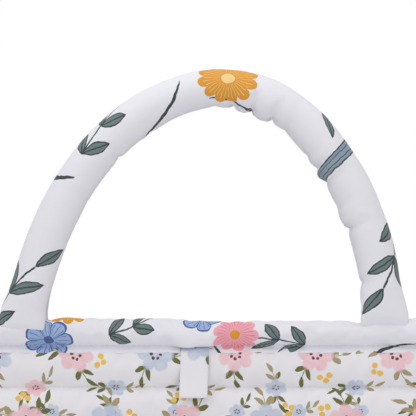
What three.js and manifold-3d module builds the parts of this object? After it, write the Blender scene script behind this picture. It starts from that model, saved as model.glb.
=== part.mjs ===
// A fabric storage basket: four quilted walls, a padded rim, two stuffed arch handles and a sewn tab.
// Millimetres, +Z up. The origin is on the floor under the middle of the base; the front faces -Y.
import * as THREE from "three";
import { mergeVertices } from "three/addons/utils/BufferGeometryUtils.js";
import Module from "manifold-3d";

// Body, measured over the crowns of the quilted rolls
const LENGTH = 320;
const WIDTH = 240;
const CORNER_RADIUS = 30;
const ROLL_COUNT = 9;
const ROLL_HEIGHT = 24;
const ROLL_BULGE = 3.5;

// Layers
const FABRIC = 0.9;
const BATTING = 8;
const BOARD = 3;
const BASE_PAD = 4;
const CLEARANCE = 0.3;

// Rim: a padded roll on top of the walls, with a flat flange outside and a hem inside
const RIM_DIAMETER = 17;
const RIM_OVERHANG = 2.5;
const RIM_LIFT = 0.4;
const RIM_FLANGE = 3.6;
const RIM_HEM = 4;

// Handles: a stuffed tube on an uneven arch, flattened at its two feet
const HANDLE_INSET = 53.5;
const HANDLE_RISE = 137;
const TUBE_DIAMETER = 24.5;
const LEFT_SHOULDER = 1.45;
const RIGHT_SHOULDER = 2;
const CROWN_LEAN = 9.4;
const LEAN_POWER = 6;
const FOOT_WIDTH = 29;
const FOOT_THICKNESS = 10;
const FOOT_NECK = 3;
const FOOT_TAPER = 26;
const REAR_EXTRA_SPAN = 5.4;
const REAR_EXTRA_RISE = 3.5;

// Handle ends: the flat tongue of each foot that is caught in the rim
const END_WIDTH = 24;
const END_THICKNESS = 2.4;
const END_DEPTH = 11;
const END_SETBACK = 0.5;
const END_CORNER = 4;

// Tab: a folded strip that hangs from the flange
const TAB_OFFSET = -6.3;
const TAB_WIDTH = 17;
const TAB_LENGTH = 26;
const TAB_THICKNESS = 1.6;

// Facets
const CORNER_STEPS = 3;
const RIM_STEPS = 10;
const TUBE_SIDES = 10;
const ARCH_STEPS = 20;
const TAPER_STEPS = 3;
const END_STEPS = 3;
const TAB_STEPS = 4;
const SKIN_STEPS = [-1, -0.8, -0.35, 0.35, 0.8];
const BATTING_STEPS = [-1, -0.7, 0.7];
const FOOT_ROUNDING = [70, 45, 20];

// Heights
const wallBottom = FABRIC + CLEARANCE;
const wallTop = wallBottom + ROLL_COUNT * ROLL_HEIGHT;
const boardTop = wallBottom + BOARD;
const padTop = boardTop + CLEARANCE + BASE_PAD;
const floorTop = padTop + CLEARANCE + FABRIC;
const rimRadius = RIM_DIAMETER / 2;
const rimMiddle = wallTop + RIM_LIFT + rimRadius;
const rimTop = rimMiddle + rimRadius;
const hingeHeight = rimTop + CLEARANCE + FOOT_THICKNESS / 2;
const endTop = rimTop - END_SETBACK;

// Offsets from the crowns of the rolls, outwards
const battingFace = -(FABRIC + CLEARANCE);
const battingBack = battingFace - BATTING;
const liningFace = battingBack - CLEARANCE;
const liningBack = liningFace - FABRIC;
const rimOffset = RIM_OVERHANG - rimRadius;
const handlePlane = WIDTH / 2 + rimOffset;

// Plan: corner centres in order round the basket, starting at the front left
const cornerX = LENGTH / 2 - CORNER_RADIUS;
const cornerY = WIDTH / 2 - CORNER_RADIUS;
const corners = [
  new THREE.Vector2(-cornerX, -cornerY),
  new THREE.Vector2(cornerX, -cornerY),
  new THREE.Vector2(cornerX, cornerY),
  new THREE.Vector2(-cornerX, cornerY),
];
const SIDES = ["front", "right", "back", "left"];
const seamAngle = CLEARANCE / 2 / (CORNER_RADIUS + rimOffset - rimRadius);

const wasm = await Module();
wasm.setup();

const smallPrint = new THREE.MeshStandardMaterial({ color: 0xe6e4ea, roughness: 0.9 });
const largePrint = new THREE.MeshStandardMaterial({ color: 0xeae9ef, roughness: 0.85 });
const wadding = new THREE.MeshStandardMaterial({ color: 0xf2f0ea, roughness: 1 });
const greyBoard = new THREE.MeshStandardMaterial({ color: 0x9a948a, roughness: 0.8 });

const basket = new THREE.Group();

function addPiece(parent, name, geometry, material) {
  const mesh = new THREE.Mesh(geometry, material.clone());
  mesh.name = name;
  parent.add(mesh);
}

function geometryFrom(points, triangles) {
  const geometry = new THREE.BufferGeometry();
  const numbers = points.flatMap((p) => [p.x, p.y, p.z]);
  geometry.setAttribute("position", new THREE.Float32BufferAttribute(numbers, 3));
  geometry.setIndex(triangles.flat());
  return geometry;
}

// A station is a corner centre and a heading; an offset from it lies on that heading.
function stationPoint(station, offset, z) {
  const reach = CORNER_RADIUS + offset;
  const x = station.centre.x + reach * Math.cos(station.angle);
  const y = station.centre.y + reach * Math.sin(station.angle);
  return new THREE.Vector3(x, y, z);
}

// The stations of one side, from the seam at its first corner to the seam at its second.
function sideStations(side) {
  const facing = (side - 1) * (Math.PI / 2);
  const half = Math.PI / 4 - seamAngle;
  const stations = [];
  for (let i = 0; i <= CORNER_STEPS; i++) {
    stations.push({ centre: corners[side], angle: facing - half * (1 - i / CORNER_STEPS) });
  }
  for (let i = 0; i <= CORNER_STEPS; i++) {
    stations.push({ centre: corners[(side + 1) % 4], angle: facing + half * (i / CORNER_STEPS) });
  }
  return stations;
}

// Carries a closed profile of (offset, height) points along one side.
function sweepSide(profile, side) {
  const stations = sideStations(side);
  const count = profile.length;
  const points = stations.flatMap((s) => profile.map((p) => stationPoint(s, p.x, p.y)));
  const triangles = [];
  for (let s = 0; s < stations.length - 1; s++) {
    for (let i = 0; i < count; i++) {
      const a = s * count + i;
      const b = s * count + ((i + 1) % count);
      triangles.push([a, a + count, b], [b, a + count, b + count]);
    }
  }
  const last = (stations.length - 1) * count;
  for (const [a, b, c] of THREE.ShapeUtils.triangulateShape(profile, [])) {
    triangles.push([a, b, c], [last + c, last + b, last + a]);
  }
  return geometryFrom(points, triangles);
}

// A level sheet with the plan's outline at an offset.
function plate(offset, bottom, top) {
  const outline = [0, 1, 2, 3].flatMap((side) =>
    sideStations(side).map((s) => stationPoint(s, offset, 0)),
  );
  const shape = new THREE.Shape(outline.map((p) => new THREE.Vector2(p.x, p.y)));
  const geometry = new THREE.ExtrudeGeometry(shape, { depth: top - bottom, bevelEnabled: false });
  return geometry.translate(0, 0, bottom);
}

// How far a roll's face lies behind its crown, at a share of its half height from -1 to 1.
function rollFall(share) {
  return ROLL_BULGE * share ** 4;
}

// The face of the stacked rolls from bottom to top, set back by an offset.
function rollFace(steps, offset) {
  const face = [];
  for (let roll = 0; roll < ROLL_COUNT; roll++) {
    const middle = wallBottom + (roll + 0.5) * ROLL_HEIGHT;
    for (const share of steps) {
      face.push(new THREE.Vector2(offset - rollFall(share), middle + share * (ROLL_HEIGHT / 2)));
    }
  }
  face.push(new THREE.Vector2(offset - ROLL_BULGE, wallTop));
  return face;
}

function band(outside, inside, bottom, top) {
  return [
    new THREE.Vector2(outside, bottom),
    new THREE.Vector2(outside, top),
    new THREE.Vector2(inside, top),
    new THREE.Vector2(inside, bottom),
  ];
}

// Points on a circle round the middle of the rim roll, from one heading to another.
function rimArc(radius, from, to) {
  const arc = [];
  for (let i = 0; i <= RIM_STEPS; i++) {
    const angle = from + (to - from) * (i / RIM_STEPS);
    const offset = rimOffset + radius * Math.cos(angle);
    arc.push(new THREE.Vector2(offset, rimMiddle + radius * Math.sin(angle)));
  }
  return arc;
}

// The flange over the top of the first roll, set off from its face.
function flangeFace(offset) {
  const edge = 1 - (2 * RIM_FLANGE) / ROLL_HEIGHT;
  const shares = [edge, ...SKIN_STEPS.filter((share) => share > edge), 1];
  return shares.map((share) => {
    const height = wallTop - (1 - share) * (ROLL_HEIGHT / 2);
    return new THREE.Vector2(offset - rollFall(share), height);
  });
}

// The rim's fabric in section: flange, roll and hem in one strip, open to the walls below.
function rimProfile() {
  const hemFace = liningBack - CLEARANCE;
  const hemBack = hemFace - FABRIC;
  const flangeBack = CLEARANCE - ROLL_BULGE;
  const flangeFront = flangeBack + FABRIC;
  const inner = rimRadius - FABRIC;
  const startOut = -Math.acos((flangeFront - rimOffset) / rimRadius);
  const endOut = 2 * Math.PI - Math.acos((hemBack - rimOffset) / rimRadius);
  const startIn = -Math.acos((flangeBack - rimOffset) / inner);
  const endIn = 2 * Math.PI - Math.acos((hemFace - rimOffset) / inner);
  return [
    ...flangeFace(CLEARANCE + FABRIC),
    ...rimArc(rimRadius, startOut, endOut),
    new THREE.Vector2(hemBack, wallTop - RIM_HEM),
    new THREE.Vector2(hemFace, wallTop - RIM_HEM),
    ...rimArc(inner, endIn, startIn),
    ...flangeFace(CLEARANCE).reverse(),
  ];
}

// The roll of wadding inside the rim, clear of the flats of its fabric.
function rimFillProfile() {
  const flat = Math.cos(Math.PI / RIM_STEPS);
  const radius = (rimRadius - FABRIC) * flat - CLEARANCE;
  return rimArc(radius, 0, 2 * Math.PI).slice(0, RIM_STEPS);
}

// The centreline of a handle, in the plane of its arch, measured from its hinge line.
class HandleArch extends THREE.Curve {
  constructor(span, rise) {
    super();
    this.span = span;
    this.rise = rise;
    this.foot = hingeHeight - rimTop;
    this.first = Math.asin((this.foot / rise) ** (LEFT_SHOULDER / 2));
    this.last = Math.PI - Math.asin((this.foot / rise) ** (RIGHT_SHOULDER / 2));
  }

  getPoint(t, target = new THREE.Vector3()) {
    const angle = this.first + (this.last - this.first) * t;
    const shoulder = angle < Math.PI / 2 ? LEFT_SHOULDER : RIGHT_SHOULDER;
    const height = Math.sin(angle) ** (2 / shoulder);
    const x = (-this.span / 2) * Math.cos(angle) + CROWN_LEAN * height ** LEAN_POWER;
    return target.set(x, 0, this.rise * height - this.foot);
  }
}

function ring(centre, across, width, thickness) {
  const points = [];
  for (let i = 0; i < TUBE_SIDES; i++) {
    const angle = (i / TUBE_SIDES) * 2 * Math.PI;
    const point = centre.clone().addScaledVector(across, (width / 2) * Math.cos(angle));
    point.y += (thickness / 2) * Math.sin(angle);
    points.push(point);
  }
  return points;
}

// The rounded bottom of a foot, from its lowest ring up to the hinge line.
function footRings(centre, across, inset) {
  return FOOT_ROUNDING.map((degrees) => {
    const angle = THREE.MathUtils.degToRad(degrees);
    const drop = (FOOT_THICKNESS / 2) * Math.sin(angle);
    const thickness = (FOOT_THICKNESS - 2 * inset) * Math.cos(angle);
    const below = centre.clone().setZ(centre.z - drop);
    return ring(below, across, FOOT_WIDTH - 2 * inset, thickness);
  });
}

// How far along a handle its rings stand: close together at the feet, then even.
function ringDistances(length) {
  const foot = [0];
  for (let i = 0; i < TAPER_STEPS; i++) {
    foot.push(FOOT_NECK + FOOT_TAPER * (i / TAPER_STEPS));
  }
  const start = FOOT_NECK + FOOT_TAPER;
  const middle = [];
  for (let i = 0; i <= ARCH_STEPS; i++) {
    middle.push(start + (length - 2 * start) * (i / ARCH_STEPS));
  }
  return [...foot, ...middle, ...foot.map((distance) => length - distance).reverse()];
}

// The rings of a handle's tube from its left foot to its right, set in from its outside.
function handleRings(arch, inset) {
  const length = arch.getLength();
  const right = new THREE.Vector3(1, 0, 0);
  const left = new THREE.Vector3(-1, 0, 0);
  const tube = ringDistances(length).map((distance) => {
    const fromFoot = Math.min(distance, length - distance);
    const swell = THREE.MathUtils.smoothstep(fromFoot, FOOT_NECK, FOOT_NECK + FOOT_TAPER);
    const width = THREE.MathUtils.lerp(FOOT_WIDTH, TUBE_DIAMETER, swell) - 2 * inset;
    const thickness = THREE.MathUtils.lerp(FOOT_THICKNESS, TUBE_DIAMETER, swell) - 2 * inset;
    const along = arch.getTangentAt(distance / length);
    const lean = new THREE.Vector3(along.z, 0, -along.x);
    const level = distance < length / 2 ? right : left;
    const across = level.clone().lerp(lean, swell).normalize();
    return ring(arch.getPointAt(distance / length), across, width, thickness);
  });
  return [
    ...footRings(arch.getPointAt(0), right, inset),
    ...tube,
    ...footRings(arch.getPointAt(1), left, inset).reverse(),
  ];
}

// The triangles of a tube's skin between rings whose points follow each other.
function skinTriangles(ringCount, first) {
  const triangles = [];
  for (let r = 0; r < ringCount - 1; r++) {
    for (let i = 0; i < TUBE_SIDES; i++) {
      const a = first + r * TUBE_SIDES + i;
      const b = first + r * TUBE_SIDES + ((i + 1) % TUBE_SIDES);
      triangles.push([a, b, a + TUBE_SIDES], [b, b + TUBE_SIDES, a + TUBE_SIDES]);
    }
  }
  return triangles;
}

function solidTube(rings) {
  const triangles = skinTriangles(rings.length, 0);
  const last = (rings.length - 1) * TUBE_SIDES;
  for (let i = 1; i < TUBE_SIDES - 1; i++) {
    triangles.push([0, i + 1, i], [last, last + i, last + i + 1]);
  }
  return geometryFrom(rings.flat(), triangles);
}

// A sleeve between two sets of rings, open at both ends.
function sleeve(outer, inner) {
  const shift = outer.length * TUBE_SIDES;
  const inside = skinTriangles(inner.length, shift).map(([a, b, c]) => [a, c, b]);
  const triangles = [...skinTriangles(outer.length, 0), ...inside];
  const last = (outer.length - 1) * TUBE_SIDES;
  for (let i = 0; i < TUBE_SIDES; i++) {
    const next = (i + 1) % TUBE_SIDES;
    triangles.push([i, shift + i, next], [next, shift + i, shift + next]);
    const a = last + i;
    const b = last + next;
    triangles.push([a, b, shift + a], [b, shift + b, shift + a]);
  }
  return geometryFrom([...outer.flat(), ...inner.flat()], triangles);
}

function asManifold(geometry) {
  const bare = geometry.clone();
  bare.deleteAttribute("normal");
  bare.deleteAttribute("uv");
  const merged = mergeVertices(bare);
  const vertProperties = merged.attributes.position.array;
  const triVerts = new Uint32Array(merged.index.array);
  return new wasm.Manifold(new wasm.Mesh({ numProp: 3, vertProperties, triVerts }));
}

function cut(geometry, cutters) {
  let body = asManifold(geometry);
  for (const cutter of cutters) {
    body = body.subtract(asManifold(cutter));
  }
  const mesh = body.getMesh();
  const result = new THREE.BufferGeometry();
  result.setAttribute("position", new THREE.BufferAttribute(mesh.vertProperties, 3));
  result.setIndex(new THREE.BufferAttribute(mesh.triVerts, 1));
  return result;
}

// The flat tongue of a foot, with its lower corners rounded.
function handleEnd() {
  const half = END_WIDTH / 2;
  const shape = new THREE.Shape();
  shape.moveTo(half, 0);
  shape.lineTo(-half, 0);
  shape.absarc(-half + END_CORNER, END_CORNER - END_DEPTH, END_CORNER, Math.PI, 1.5 * Math.PI);
  shape.absarc(half - END_CORNER, END_CORNER - END_DEPTH, END_CORNER, 1.5 * Math.PI, 2 * Math.PI);
  const options = { depth: END_THICKNESS, bevelEnabled: false, curveSegments: END_STEPS };
  const geometry = new THREE.ExtrudeGeometry(shape, options);
  return geometry.rotateX(Math.PI / 2).translate(0, END_THICKNESS / 2, 0);
}

// The slot that a tongue goes through, open at the top of the rim.
function endSlot(x, y) {
  const width = END_WIDTH + 2 * CLEARANCE;
  const thickness = END_THICKNESS + 2 * CLEARANCE;
  const bottom = endTop - END_DEPTH - CLEARANCE;
  const top = rimTop + rimRadius;
  const box = new THREE.BoxGeometry(width, thickness, top - bottom);
  return box.translate(x, y, (top + bottom) / 2);
}

// The tab hangs down from its hinge line, folded round at its lower edge.
function tabGeometry() {
  const half = TAB_THICKNESS / 2;
  const shape = new THREE.Shape();
  shape.absarc(0, 0, half, 0, Math.PI);
  shape.absarc(0, half - TAB_LENGTH, half, Math.PI, 2 * Math.PI);
  const options = { depth: TAB_WIDTH, bevelEnabled: false, curveSegments: TAB_STEPS };
  const geometry = new THREE.ExtrudeGeometry(shape, options).translate(0, 0, -TAB_WIDTH / 2);
  const turn = new THREE.Matrix4().makeBasis(
    new THREE.Vector3(0, 1, 0),
    new THREE.Vector3(0, 0, 1),
    new THREE.Vector3(1, 0, 0),
  );
  return geometry.applyMatrix4(turn);
}

const frontArch = new HandleArch(LENGTH - 2 * HANDLE_INSET, HANDLE_RISE);
const rearArch = new HandleArch(frontArch.span + REAR_EXTRA_SPAN, HANDLE_RISE + REAR_EXTRA_RISE);
const handles = {
  front: { arch: frontArch, y: -handlePlane },
  rear: { arch: rearArch, y: handlePlane },
};

function footPlaces({ arch }) {
  return { left: arch.getPointAt(0).x, right: arch.getPointAt(1).x };
}

function slotsFor(side) {
  const handle = { front: handles.front, back: handles.rear }[side];
  return handle ? Object.values(footPlaces(handle)).map((x) => endSlot(x, handle.y)) : [];
}

// Walls and rim, one set of layers to a side
const skin = [...rollFace(SKIN_STEPS, 0), ...rollFace(BATTING_STEPS, -FABRIC).reverse()];
const fill = [
  ...rollFace(BATTING_STEPS, battingFace),
  new THREE.Vector2(battingBack, wallTop),
  new THREE.Vector2(battingBack, wallBottom),
];
const lining = band(liningFace, liningBack, floorTop + CLEARANCE, wallTop);
SIDES.forEach((side, index) => {
  const slots = slotsFor(side);
  addPiece(basket, `outer_${side}_panel`, sweepSide(skin, index), smallPrint);
  addPiece(basket, `${side}_wall_batting`, sweepSide(fill, index), wadding);
  addPiece(basket, `lining_${side}_panel`, sweepSide(lining, index), largePrint);
  addPiece(basket, `rim_${side}_cover`, cut(sweepSide(rimProfile(), index), slots), largePrint);
  addPiece(basket, `rim_${side}_filler`, cut(sweepSide(rimFillProfile(), index), slots), wadding);
});

// Base, from the floor up
const baseInset = battingBack - CLEARANCE;
addPiece(basket, "outer_base_panel", plate(-ROLL_BULGE, 0, FABRIC), smallPrint);
addPiece(basket, "base_board", plate(baseInset, wallBottom, boardTop), greyBoard);
addPiece(basket, "base_batting", plate(baseInset, boardTop + CLEARANCE, padTop), wadding);
addPiece(basket, "lining_base_panel", plate(baseInset, padTop + CLEARANCE, floorTop), largePrint);

// Handles, each hung on its hinge line, with the tongues that hold it in the rim
for (const [place, handle] of Object.entries(handles)) {
  const swing = new THREE.Group();
  swing.position.set(0, handle.y, hingeHeight);
  basket.add(swing);
  const cover = sleeve(handleRings(handle.arch, 0), handleRings(handle.arch, FABRIC));
  addPiece(swing, `${place}_handle_cover`, cover, largePrint);
  const core = solidTube(handleRings(handle.arch, FABRIC + CLEARANCE));
  addPiece(swing, `${place}_handle_stuffing`, core, wadding);
  for (const [hand, x] of Object.entries(footPlaces(handle))) {
    const end = handleEnd().translate(x, handle.y, endTop);
    addPiece(basket, `${place}_handle_${hand}_end`, end, largePrint);
  }
}

// Tab
const tabSwing = new THREE.Group();
const tabStand = WIDTH / 2 + CLEARANCE + TAB_THICKNESS / 2;
const tabHeight = wallTop - RIM_FLANGE - CLEARANCE - TAB_THICKNESS / 2;
tabSwing.position.set(TAB_OFFSET, -tabStand, tabHeight);
basket.add(tabSwing);
addPiece(tabSwing, "front_tab", tabGeometry(), smallPrint);

export default basket;
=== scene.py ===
"""A quilted storage basket: soft walls, a padded rim, two stuffed handles, a lining and a tab.

Lengths are in metres, and the prints are drawn in millimetres.
The basket stands on Z = 0 and its front faces -Y.
"""

import math
from collections import namedtuple

import bmesh
import bpy
import numpy as np
from bpy.props import FloatProperty, FloatVectorProperty, IntProperty, PointerProperty
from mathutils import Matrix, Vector


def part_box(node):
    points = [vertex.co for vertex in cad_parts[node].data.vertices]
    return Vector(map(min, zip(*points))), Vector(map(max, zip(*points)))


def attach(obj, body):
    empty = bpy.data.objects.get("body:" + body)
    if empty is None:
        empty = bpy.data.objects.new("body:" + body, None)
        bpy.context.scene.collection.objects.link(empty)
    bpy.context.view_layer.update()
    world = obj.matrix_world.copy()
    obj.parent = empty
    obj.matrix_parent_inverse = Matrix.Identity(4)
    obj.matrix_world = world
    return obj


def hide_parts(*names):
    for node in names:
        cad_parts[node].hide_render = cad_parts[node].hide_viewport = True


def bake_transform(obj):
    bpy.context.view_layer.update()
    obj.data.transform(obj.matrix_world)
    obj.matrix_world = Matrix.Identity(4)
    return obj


bl_info = {
    "name": "Quilted storage basket",
    "version": (1, 0, 0),
    "blender": (4, 5, 0),
    "location": "View3D > Sidebar > Basket",
    "description": "Sews a soft storage basket round its packed frame",
    "category": "Add Mesh",
}

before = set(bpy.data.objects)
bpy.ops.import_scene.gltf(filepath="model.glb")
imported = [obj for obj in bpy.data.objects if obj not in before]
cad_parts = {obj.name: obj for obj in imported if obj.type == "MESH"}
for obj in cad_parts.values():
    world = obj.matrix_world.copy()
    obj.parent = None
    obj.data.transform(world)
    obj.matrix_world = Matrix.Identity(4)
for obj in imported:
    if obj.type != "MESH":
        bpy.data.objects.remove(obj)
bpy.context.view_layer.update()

MM = 0.001
SIDES = ("front", "right", "back", "left")
PRINT_MAP = "Print"
FRONT_LOW, FRONT_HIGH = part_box("outer_front_panel")
LEFT_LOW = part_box("outer_left_panel")[0]

Stations = namedtuple("Stations", "centre heading run")


def srgb(red, green, blue):
    """A colour given as 0 to 255 for the eye, in linear light."""
    shares = (red / 255, green / 255, blue / 255)
    return tuple(s / 12.92 if s < 0.04045 else ((s + 0.055) / 1.055) ** 2.4 for s in shares)


def size(name, description, default):
    return FloatProperty(name=name, description=description, default=default, unit="LENGTH", precision=4)


def share(name, description, default):
    return FloatProperty(name=name, description=description, default=default)


def tint(name, description, default):
    return FloatVectorProperty(
        name=name, description=description, default=srgb(*default), subtype="COLOR", size=3, min=0, max=1
    )


class BasketBody(bpy.types.PropertyGroup):
    """The walls and what they are made of."""

    length: size("Length", "Over the crowns of the rolls, left to right", -2 * LEFT_LOW.x)
    width: size("Width", "Over the crowns of the rolls, front to back", -2 * FRONT_LOW.y)
    bottom: size("Bottom", "Height of the lowest seam", FRONT_LOW.z)
    top: size("Top", "Height of the seam under the rim", FRONT_HIGH.z)
    corner_radius: size("Corner radius", "Rounding of the upright corners", 30 * MM)
    rolls: IntProperty(name="Rolls", description="Quilted rolls up a wall", default=9, min=1)
    bulge: size("Bulge", "How far a roll swells from its seams", 3.5 * MM)
    fabric: size("Fabric", "Thickness of the cotton", 0.9 * MM)
    batting: size("Batting", "Thickness of the wadding in a wall", 8 * MM)
    gap: size("Gap", "Room between one layer and the next", 0.3 * MM)
    spare_cloth: share("Spare cloth", "Extra cloth that puckers along the quilting", 0.03)


class BasketRim(bpy.types.PropertyGroup):
    """The padded roll on top of the walls."""

    diameter: size("Diameter", "Thickness of the roll", 17 * MM)
    overhang: size("Overhang", "How far the roll stands out past the walls", 2.5 * MM)
    lift: size("Lift", "Gap between the walls and the roll", 0.4 * MM)
    flange: size("Flange", "Height of the flat strip under the roll", 3.6 * MM)
    hem: size("Hem", "Height of the strip inside the walls", 4 * MM)
    foot_press: size("Foot press", "How far a foot presses the roll down", 0.5 * MM)
    slump: size("Slump", "How much thinner the roll is where it holds less wadding", 2.4 * MM)
    back_slump: size("Back slump", "How much thinner the roll is along the back", 0.8 * MM)
    spare_cloth: share("Spare cloth", "Extra cloth that puckers along the roll", 0.04)


class BasketHandle(bpy.types.PropertyGroup):
    """The stuffed arches."""

    span: size("Span", "Between the feet of the front handle", 213 * MM)
    rise: size("Rise", "Height of the arch over the rim", 137 * MM)
    rear_extra_span: size("Rear extra span", "How much wider the rear handle is", 5.4 * MM)
    rear_extra_rise: size("Rear extra rise", "How much higher the rear handle is", 3.5 * MM)
    diameter: size("Diameter", "Thickness of the tube", 24.5 * MM)
    left_shoulder: share("Left shoulder", "2 is an ellipse, and less is straighter", 1.45)
    right_shoulder: share("Right shoulder", "2 is an ellipse, and less is straighter", 2.0)
    crown_lean: size("Crown lean", "How far the crown lies to the right", 9.4 * MM)
    lean_power: share("Lean power", "How much of the lean stays near the crown", 6.0)
    foot_width: size("Foot width", "Width of a flattened foot", 29 * MM)
    foot_thickness: size("Foot thickness", "Thickness of a flattened foot", 10 * MM)
    foot_neck: size("Foot neck", "Height of the flat part of a foot", 3 * MM)
    foot_taper: size("Foot taper", "Length over which a foot swells to the tube", 26 * MM)
    left_drop: size("Left drop", "How far down the roll the front left foot is sewn", 9.5 * MM)
    right_drop: size("Right drop", "How far down the roll the front right foot is sewn", 5 * MM)
    rear_drop: size("Rear drop", "How far down the roll the rear feet are sewn", 6 * MM)
    left_splay: size("Left splay", "How far the front left foot spreads to its side", 4 * MM)
    right_splay: size("Right splay", "How far the front right foot spreads to its side", 1.5 * MM)
    rear_splay: size("Rear splay", "How far the rear feet spread to their sides", 2 * MM)
    foot_set: size("Foot set", "How deep a foot's end is sunk in the roll", 2.2 * MM)
    crown_slim: size("Crown slim", "How much thinner the tube is at the crown", 2.6 * MM)
    uneven: share("Uneven", "How much the stuffing's thickness varies", 0.018)
    pressure: share("Pressure", "How hard the stuffing presses on the cloth", 1500.0)


class BasketTab(bpy.types.PropertyGroup):
    """The folded strip under the front rim."""

    width: size("Width", "Width of the strip", 17 * MM)
    length: size("Length", "From the flange to the fold", 26 * MM)
    thickness: size("Thickness", "Two layers of cotton", 1.6 * MM)
    pull: size("Pull", "How far the tab draws the roll above it down", 3 * MM)
    curl: size("Curl", "How far the fold stands off the wall", 3 * MM)


class BasketThread(bpy.types.PropertyGroup):
    """The sewing thread."""

    pitch: size("Pitch", "From one stitch to the next", 3.2 * MM)
    stitch: size("Stitch", "Length of a stitch that shows", 2.3 * MM)
    thickness: size("Thickness", "Thickness of the thread", 0.42 * MM)


class BasketTints(bpy.types.PropertyGroup):
    """The colours of the cloth, its prints and the stage."""

    ground: tint("Ground", "Ground of the large print", (237, 236, 243))
    chalk: tint("Chalk", "Ground of the small print", (239, 237, 241))
    charcoal: tint("Charcoal", "Leaves and stems of the large print", (66, 76, 78))
    fern: tint("Fern", "Light side of the large leaves", (112, 128, 128))
    slate: tint("Slate", "Reeds of the large print", (142, 158, 174))
    amber: tint("Amber", "Warm blooms of the large print", (226, 156, 58))
    straw: tint("Straw", "Streaks in the warm blooms", (246, 214, 150))
    cornflower: tint("Cornflower", "Blue blooms of the large print", (158, 182, 222))
    ink: tint("Ink", "Outlines of the blue blooms", (84, 104, 158))
    rose: tint("Rose", "Pink blooms of the large print", (244, 172, 184))
    berry: tint("Berry", "Streaks in the pink blooms", (222, 112, 138))
    blush: tint("Blush", "Pink blossoms of the small print", (241, 196, 203))
    mist: tint("Mist", "Blue blossoms of the small print", (196, 206, 225))
    plum: tint("Plum", "Hearts of the small blossoms", (104, 74, 88))
    olive: tint("Olive", "Dark sprigs of the small print", (112, 114, 66))
    khaki: tint("Khaki", "Light sprigs of the small print", (172, 158, 122))
    honey: tint("Honey", "Buds of the small print", (240, 196, 98))
    thread: tint("Thread", "Sewing thread", (232, 231, 235))
    board: tint("Board", "Stiff board in the base", (154, 148, 138))
    floor: tint("Floor", "Studio floor", (244, 244, 245))


class BasketStage(bpy.types.PropertyGroup):
    """The camera and the light."""

    distance: size("Distance", "From the camera to the front handle", 9.0)
    field: size("Field", "Width of the view at the front handle", 249.6 * MM)
    aim_x: size("Aim across", "Middle of the view, left to right", 2.1 * MM)
    aim_z: size("Aim up", "Middle of the view, above the floor", 300.6 * MM)
    sky: share("Sky", "Light from all round", 0.57)
    key: share("Key", "Light from the soft box above", 9.5)
    fill: share("Fill", "Light from the soft box in front", 3.4)


class BasketSettings(bpy.types.PropertyGroup):
    """Everything that a user may change."""

    body: PointerProperty(type=BasketBody)
    rim: PointerProperty(type=BasketRim)
    handle: PointerProperty(type=BasketHandle)
    tab: PointerProperty(type=BasketTab)
    thread: PointerProperty(type=BasketThread)
    tints: PointerProperty(type=BasketTints)
    stage: PointerProperty(type=BasketStage)


# Meshes


def link(name, mesh):
    made = bpy.data.objects.new(name, mesh)
    bpy.context.scene.collection.objects.link(made)
    return made


def middle_of(node):
    """The middle of a node's box in the frame."""
    low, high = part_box(node)
    return (low + high) / 2


def grid_faces(rows, columns, ring):
    """Quads between rows of points; in a ring the last row meets the first."""
    index = np.arange(rows * columns).reshape(rows, columns)
    after = np.roll(index, -1, axis=0) if ring else index[1:]
    here = index if ring else index[:-1]
    return np.stack([here[:, :-1], after[:, :-1], after[:, 1:], here[:, 1:]], -1).reshape(-1, 4)


def on_print(run, up):
    """A place in the print for every point, from its way along the cloth and its way up."""
    return np.stack(np.broadcast_arrays(run, up), -1)


def lay_print(mesh, places):
    """Gives every corner of every face its place in the print."""
    layer = mesh.uv_layers.new(name=PRINT_MAP)
    layer.uv.foreach_set("vector", places.astype(np.float32).ravel())


def loft(name, points, print_map, material, smooth=1):
    """A closed skin through rows of points, each row a closed loop, with both ends capped."""
    rows, loop = points.shape[:2]
    index = np.arange(rows * loop).reshape(rows, loop)
    beside = np.roll(index, -1, axis=1)
    quads = np.stack([index[:-1], index[1:], beside[1:], beside[:-1]], -1).reshape(-1, 4)
    faces = quads.tolist() + [index[0].tolist(), index[-1, ::-1].tolist()]
    mesh = bpy.data.meshes.new(name)
    mesh.from_pydata(points.reshape(-1, 3).tolist(), [], faces)
    here, there = print_map[:-1], print_map[1:]
    corners = np.stack([here[:, :-1], there[:, :-1], there[:, 1:], here[:, 1:]], 2)
    ends = np.concatenate([print_map[0, :-1], print_map[-1, :-1][::-1]])
    lay_print(mesh, np.concatenate([corners.reshape(-1, 2), ends]))
    return finished(name, mesh, material, smooth)


def finished(name, mesh, material, smooth):
    """An object whose faces point outwards, with its material and its smoothing; caps stay sharp."""
    shell = bmesh.new()
    shell.from_mesh(mesh)
    bmesh.ops.recalc_face_normals(shell, faces=shell.faces)
    crease = shell.edges.layers.float.new("crease_edge")
    for face in shell.faces:
        if len(face.verts) > 4:
            for edge in face.edges:
                edge[crease] = 1.0
    shell.to_mesh(mesh)
    shell.free()
    mesh.shade_smooth()
    mesh.materials.append(material)
    made = link(name, mesh)
    if smooth:
        subdivision = made.modifiers.new("Smooth", "SUBSURF")
        subdivision.levels = subdivision.render_levels = smooth
    return made


def steps_along(points, axis):
    """Distance along points from the first, by their own spacing."""
    gaps = np.linalg.norm(np.diff(points, axis=axis), axis=-1)
    first = np.zeros_like(np.take(gaps, [0], axis=axis))
    return np.concatenate([first, np.cumsum(gaps, axis=axis)], axis=axis)


RIPPLE_WAVES = 7
RIPPLE_PITCHES = (0.7, 1.5)
TINY = 1e-9


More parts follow.
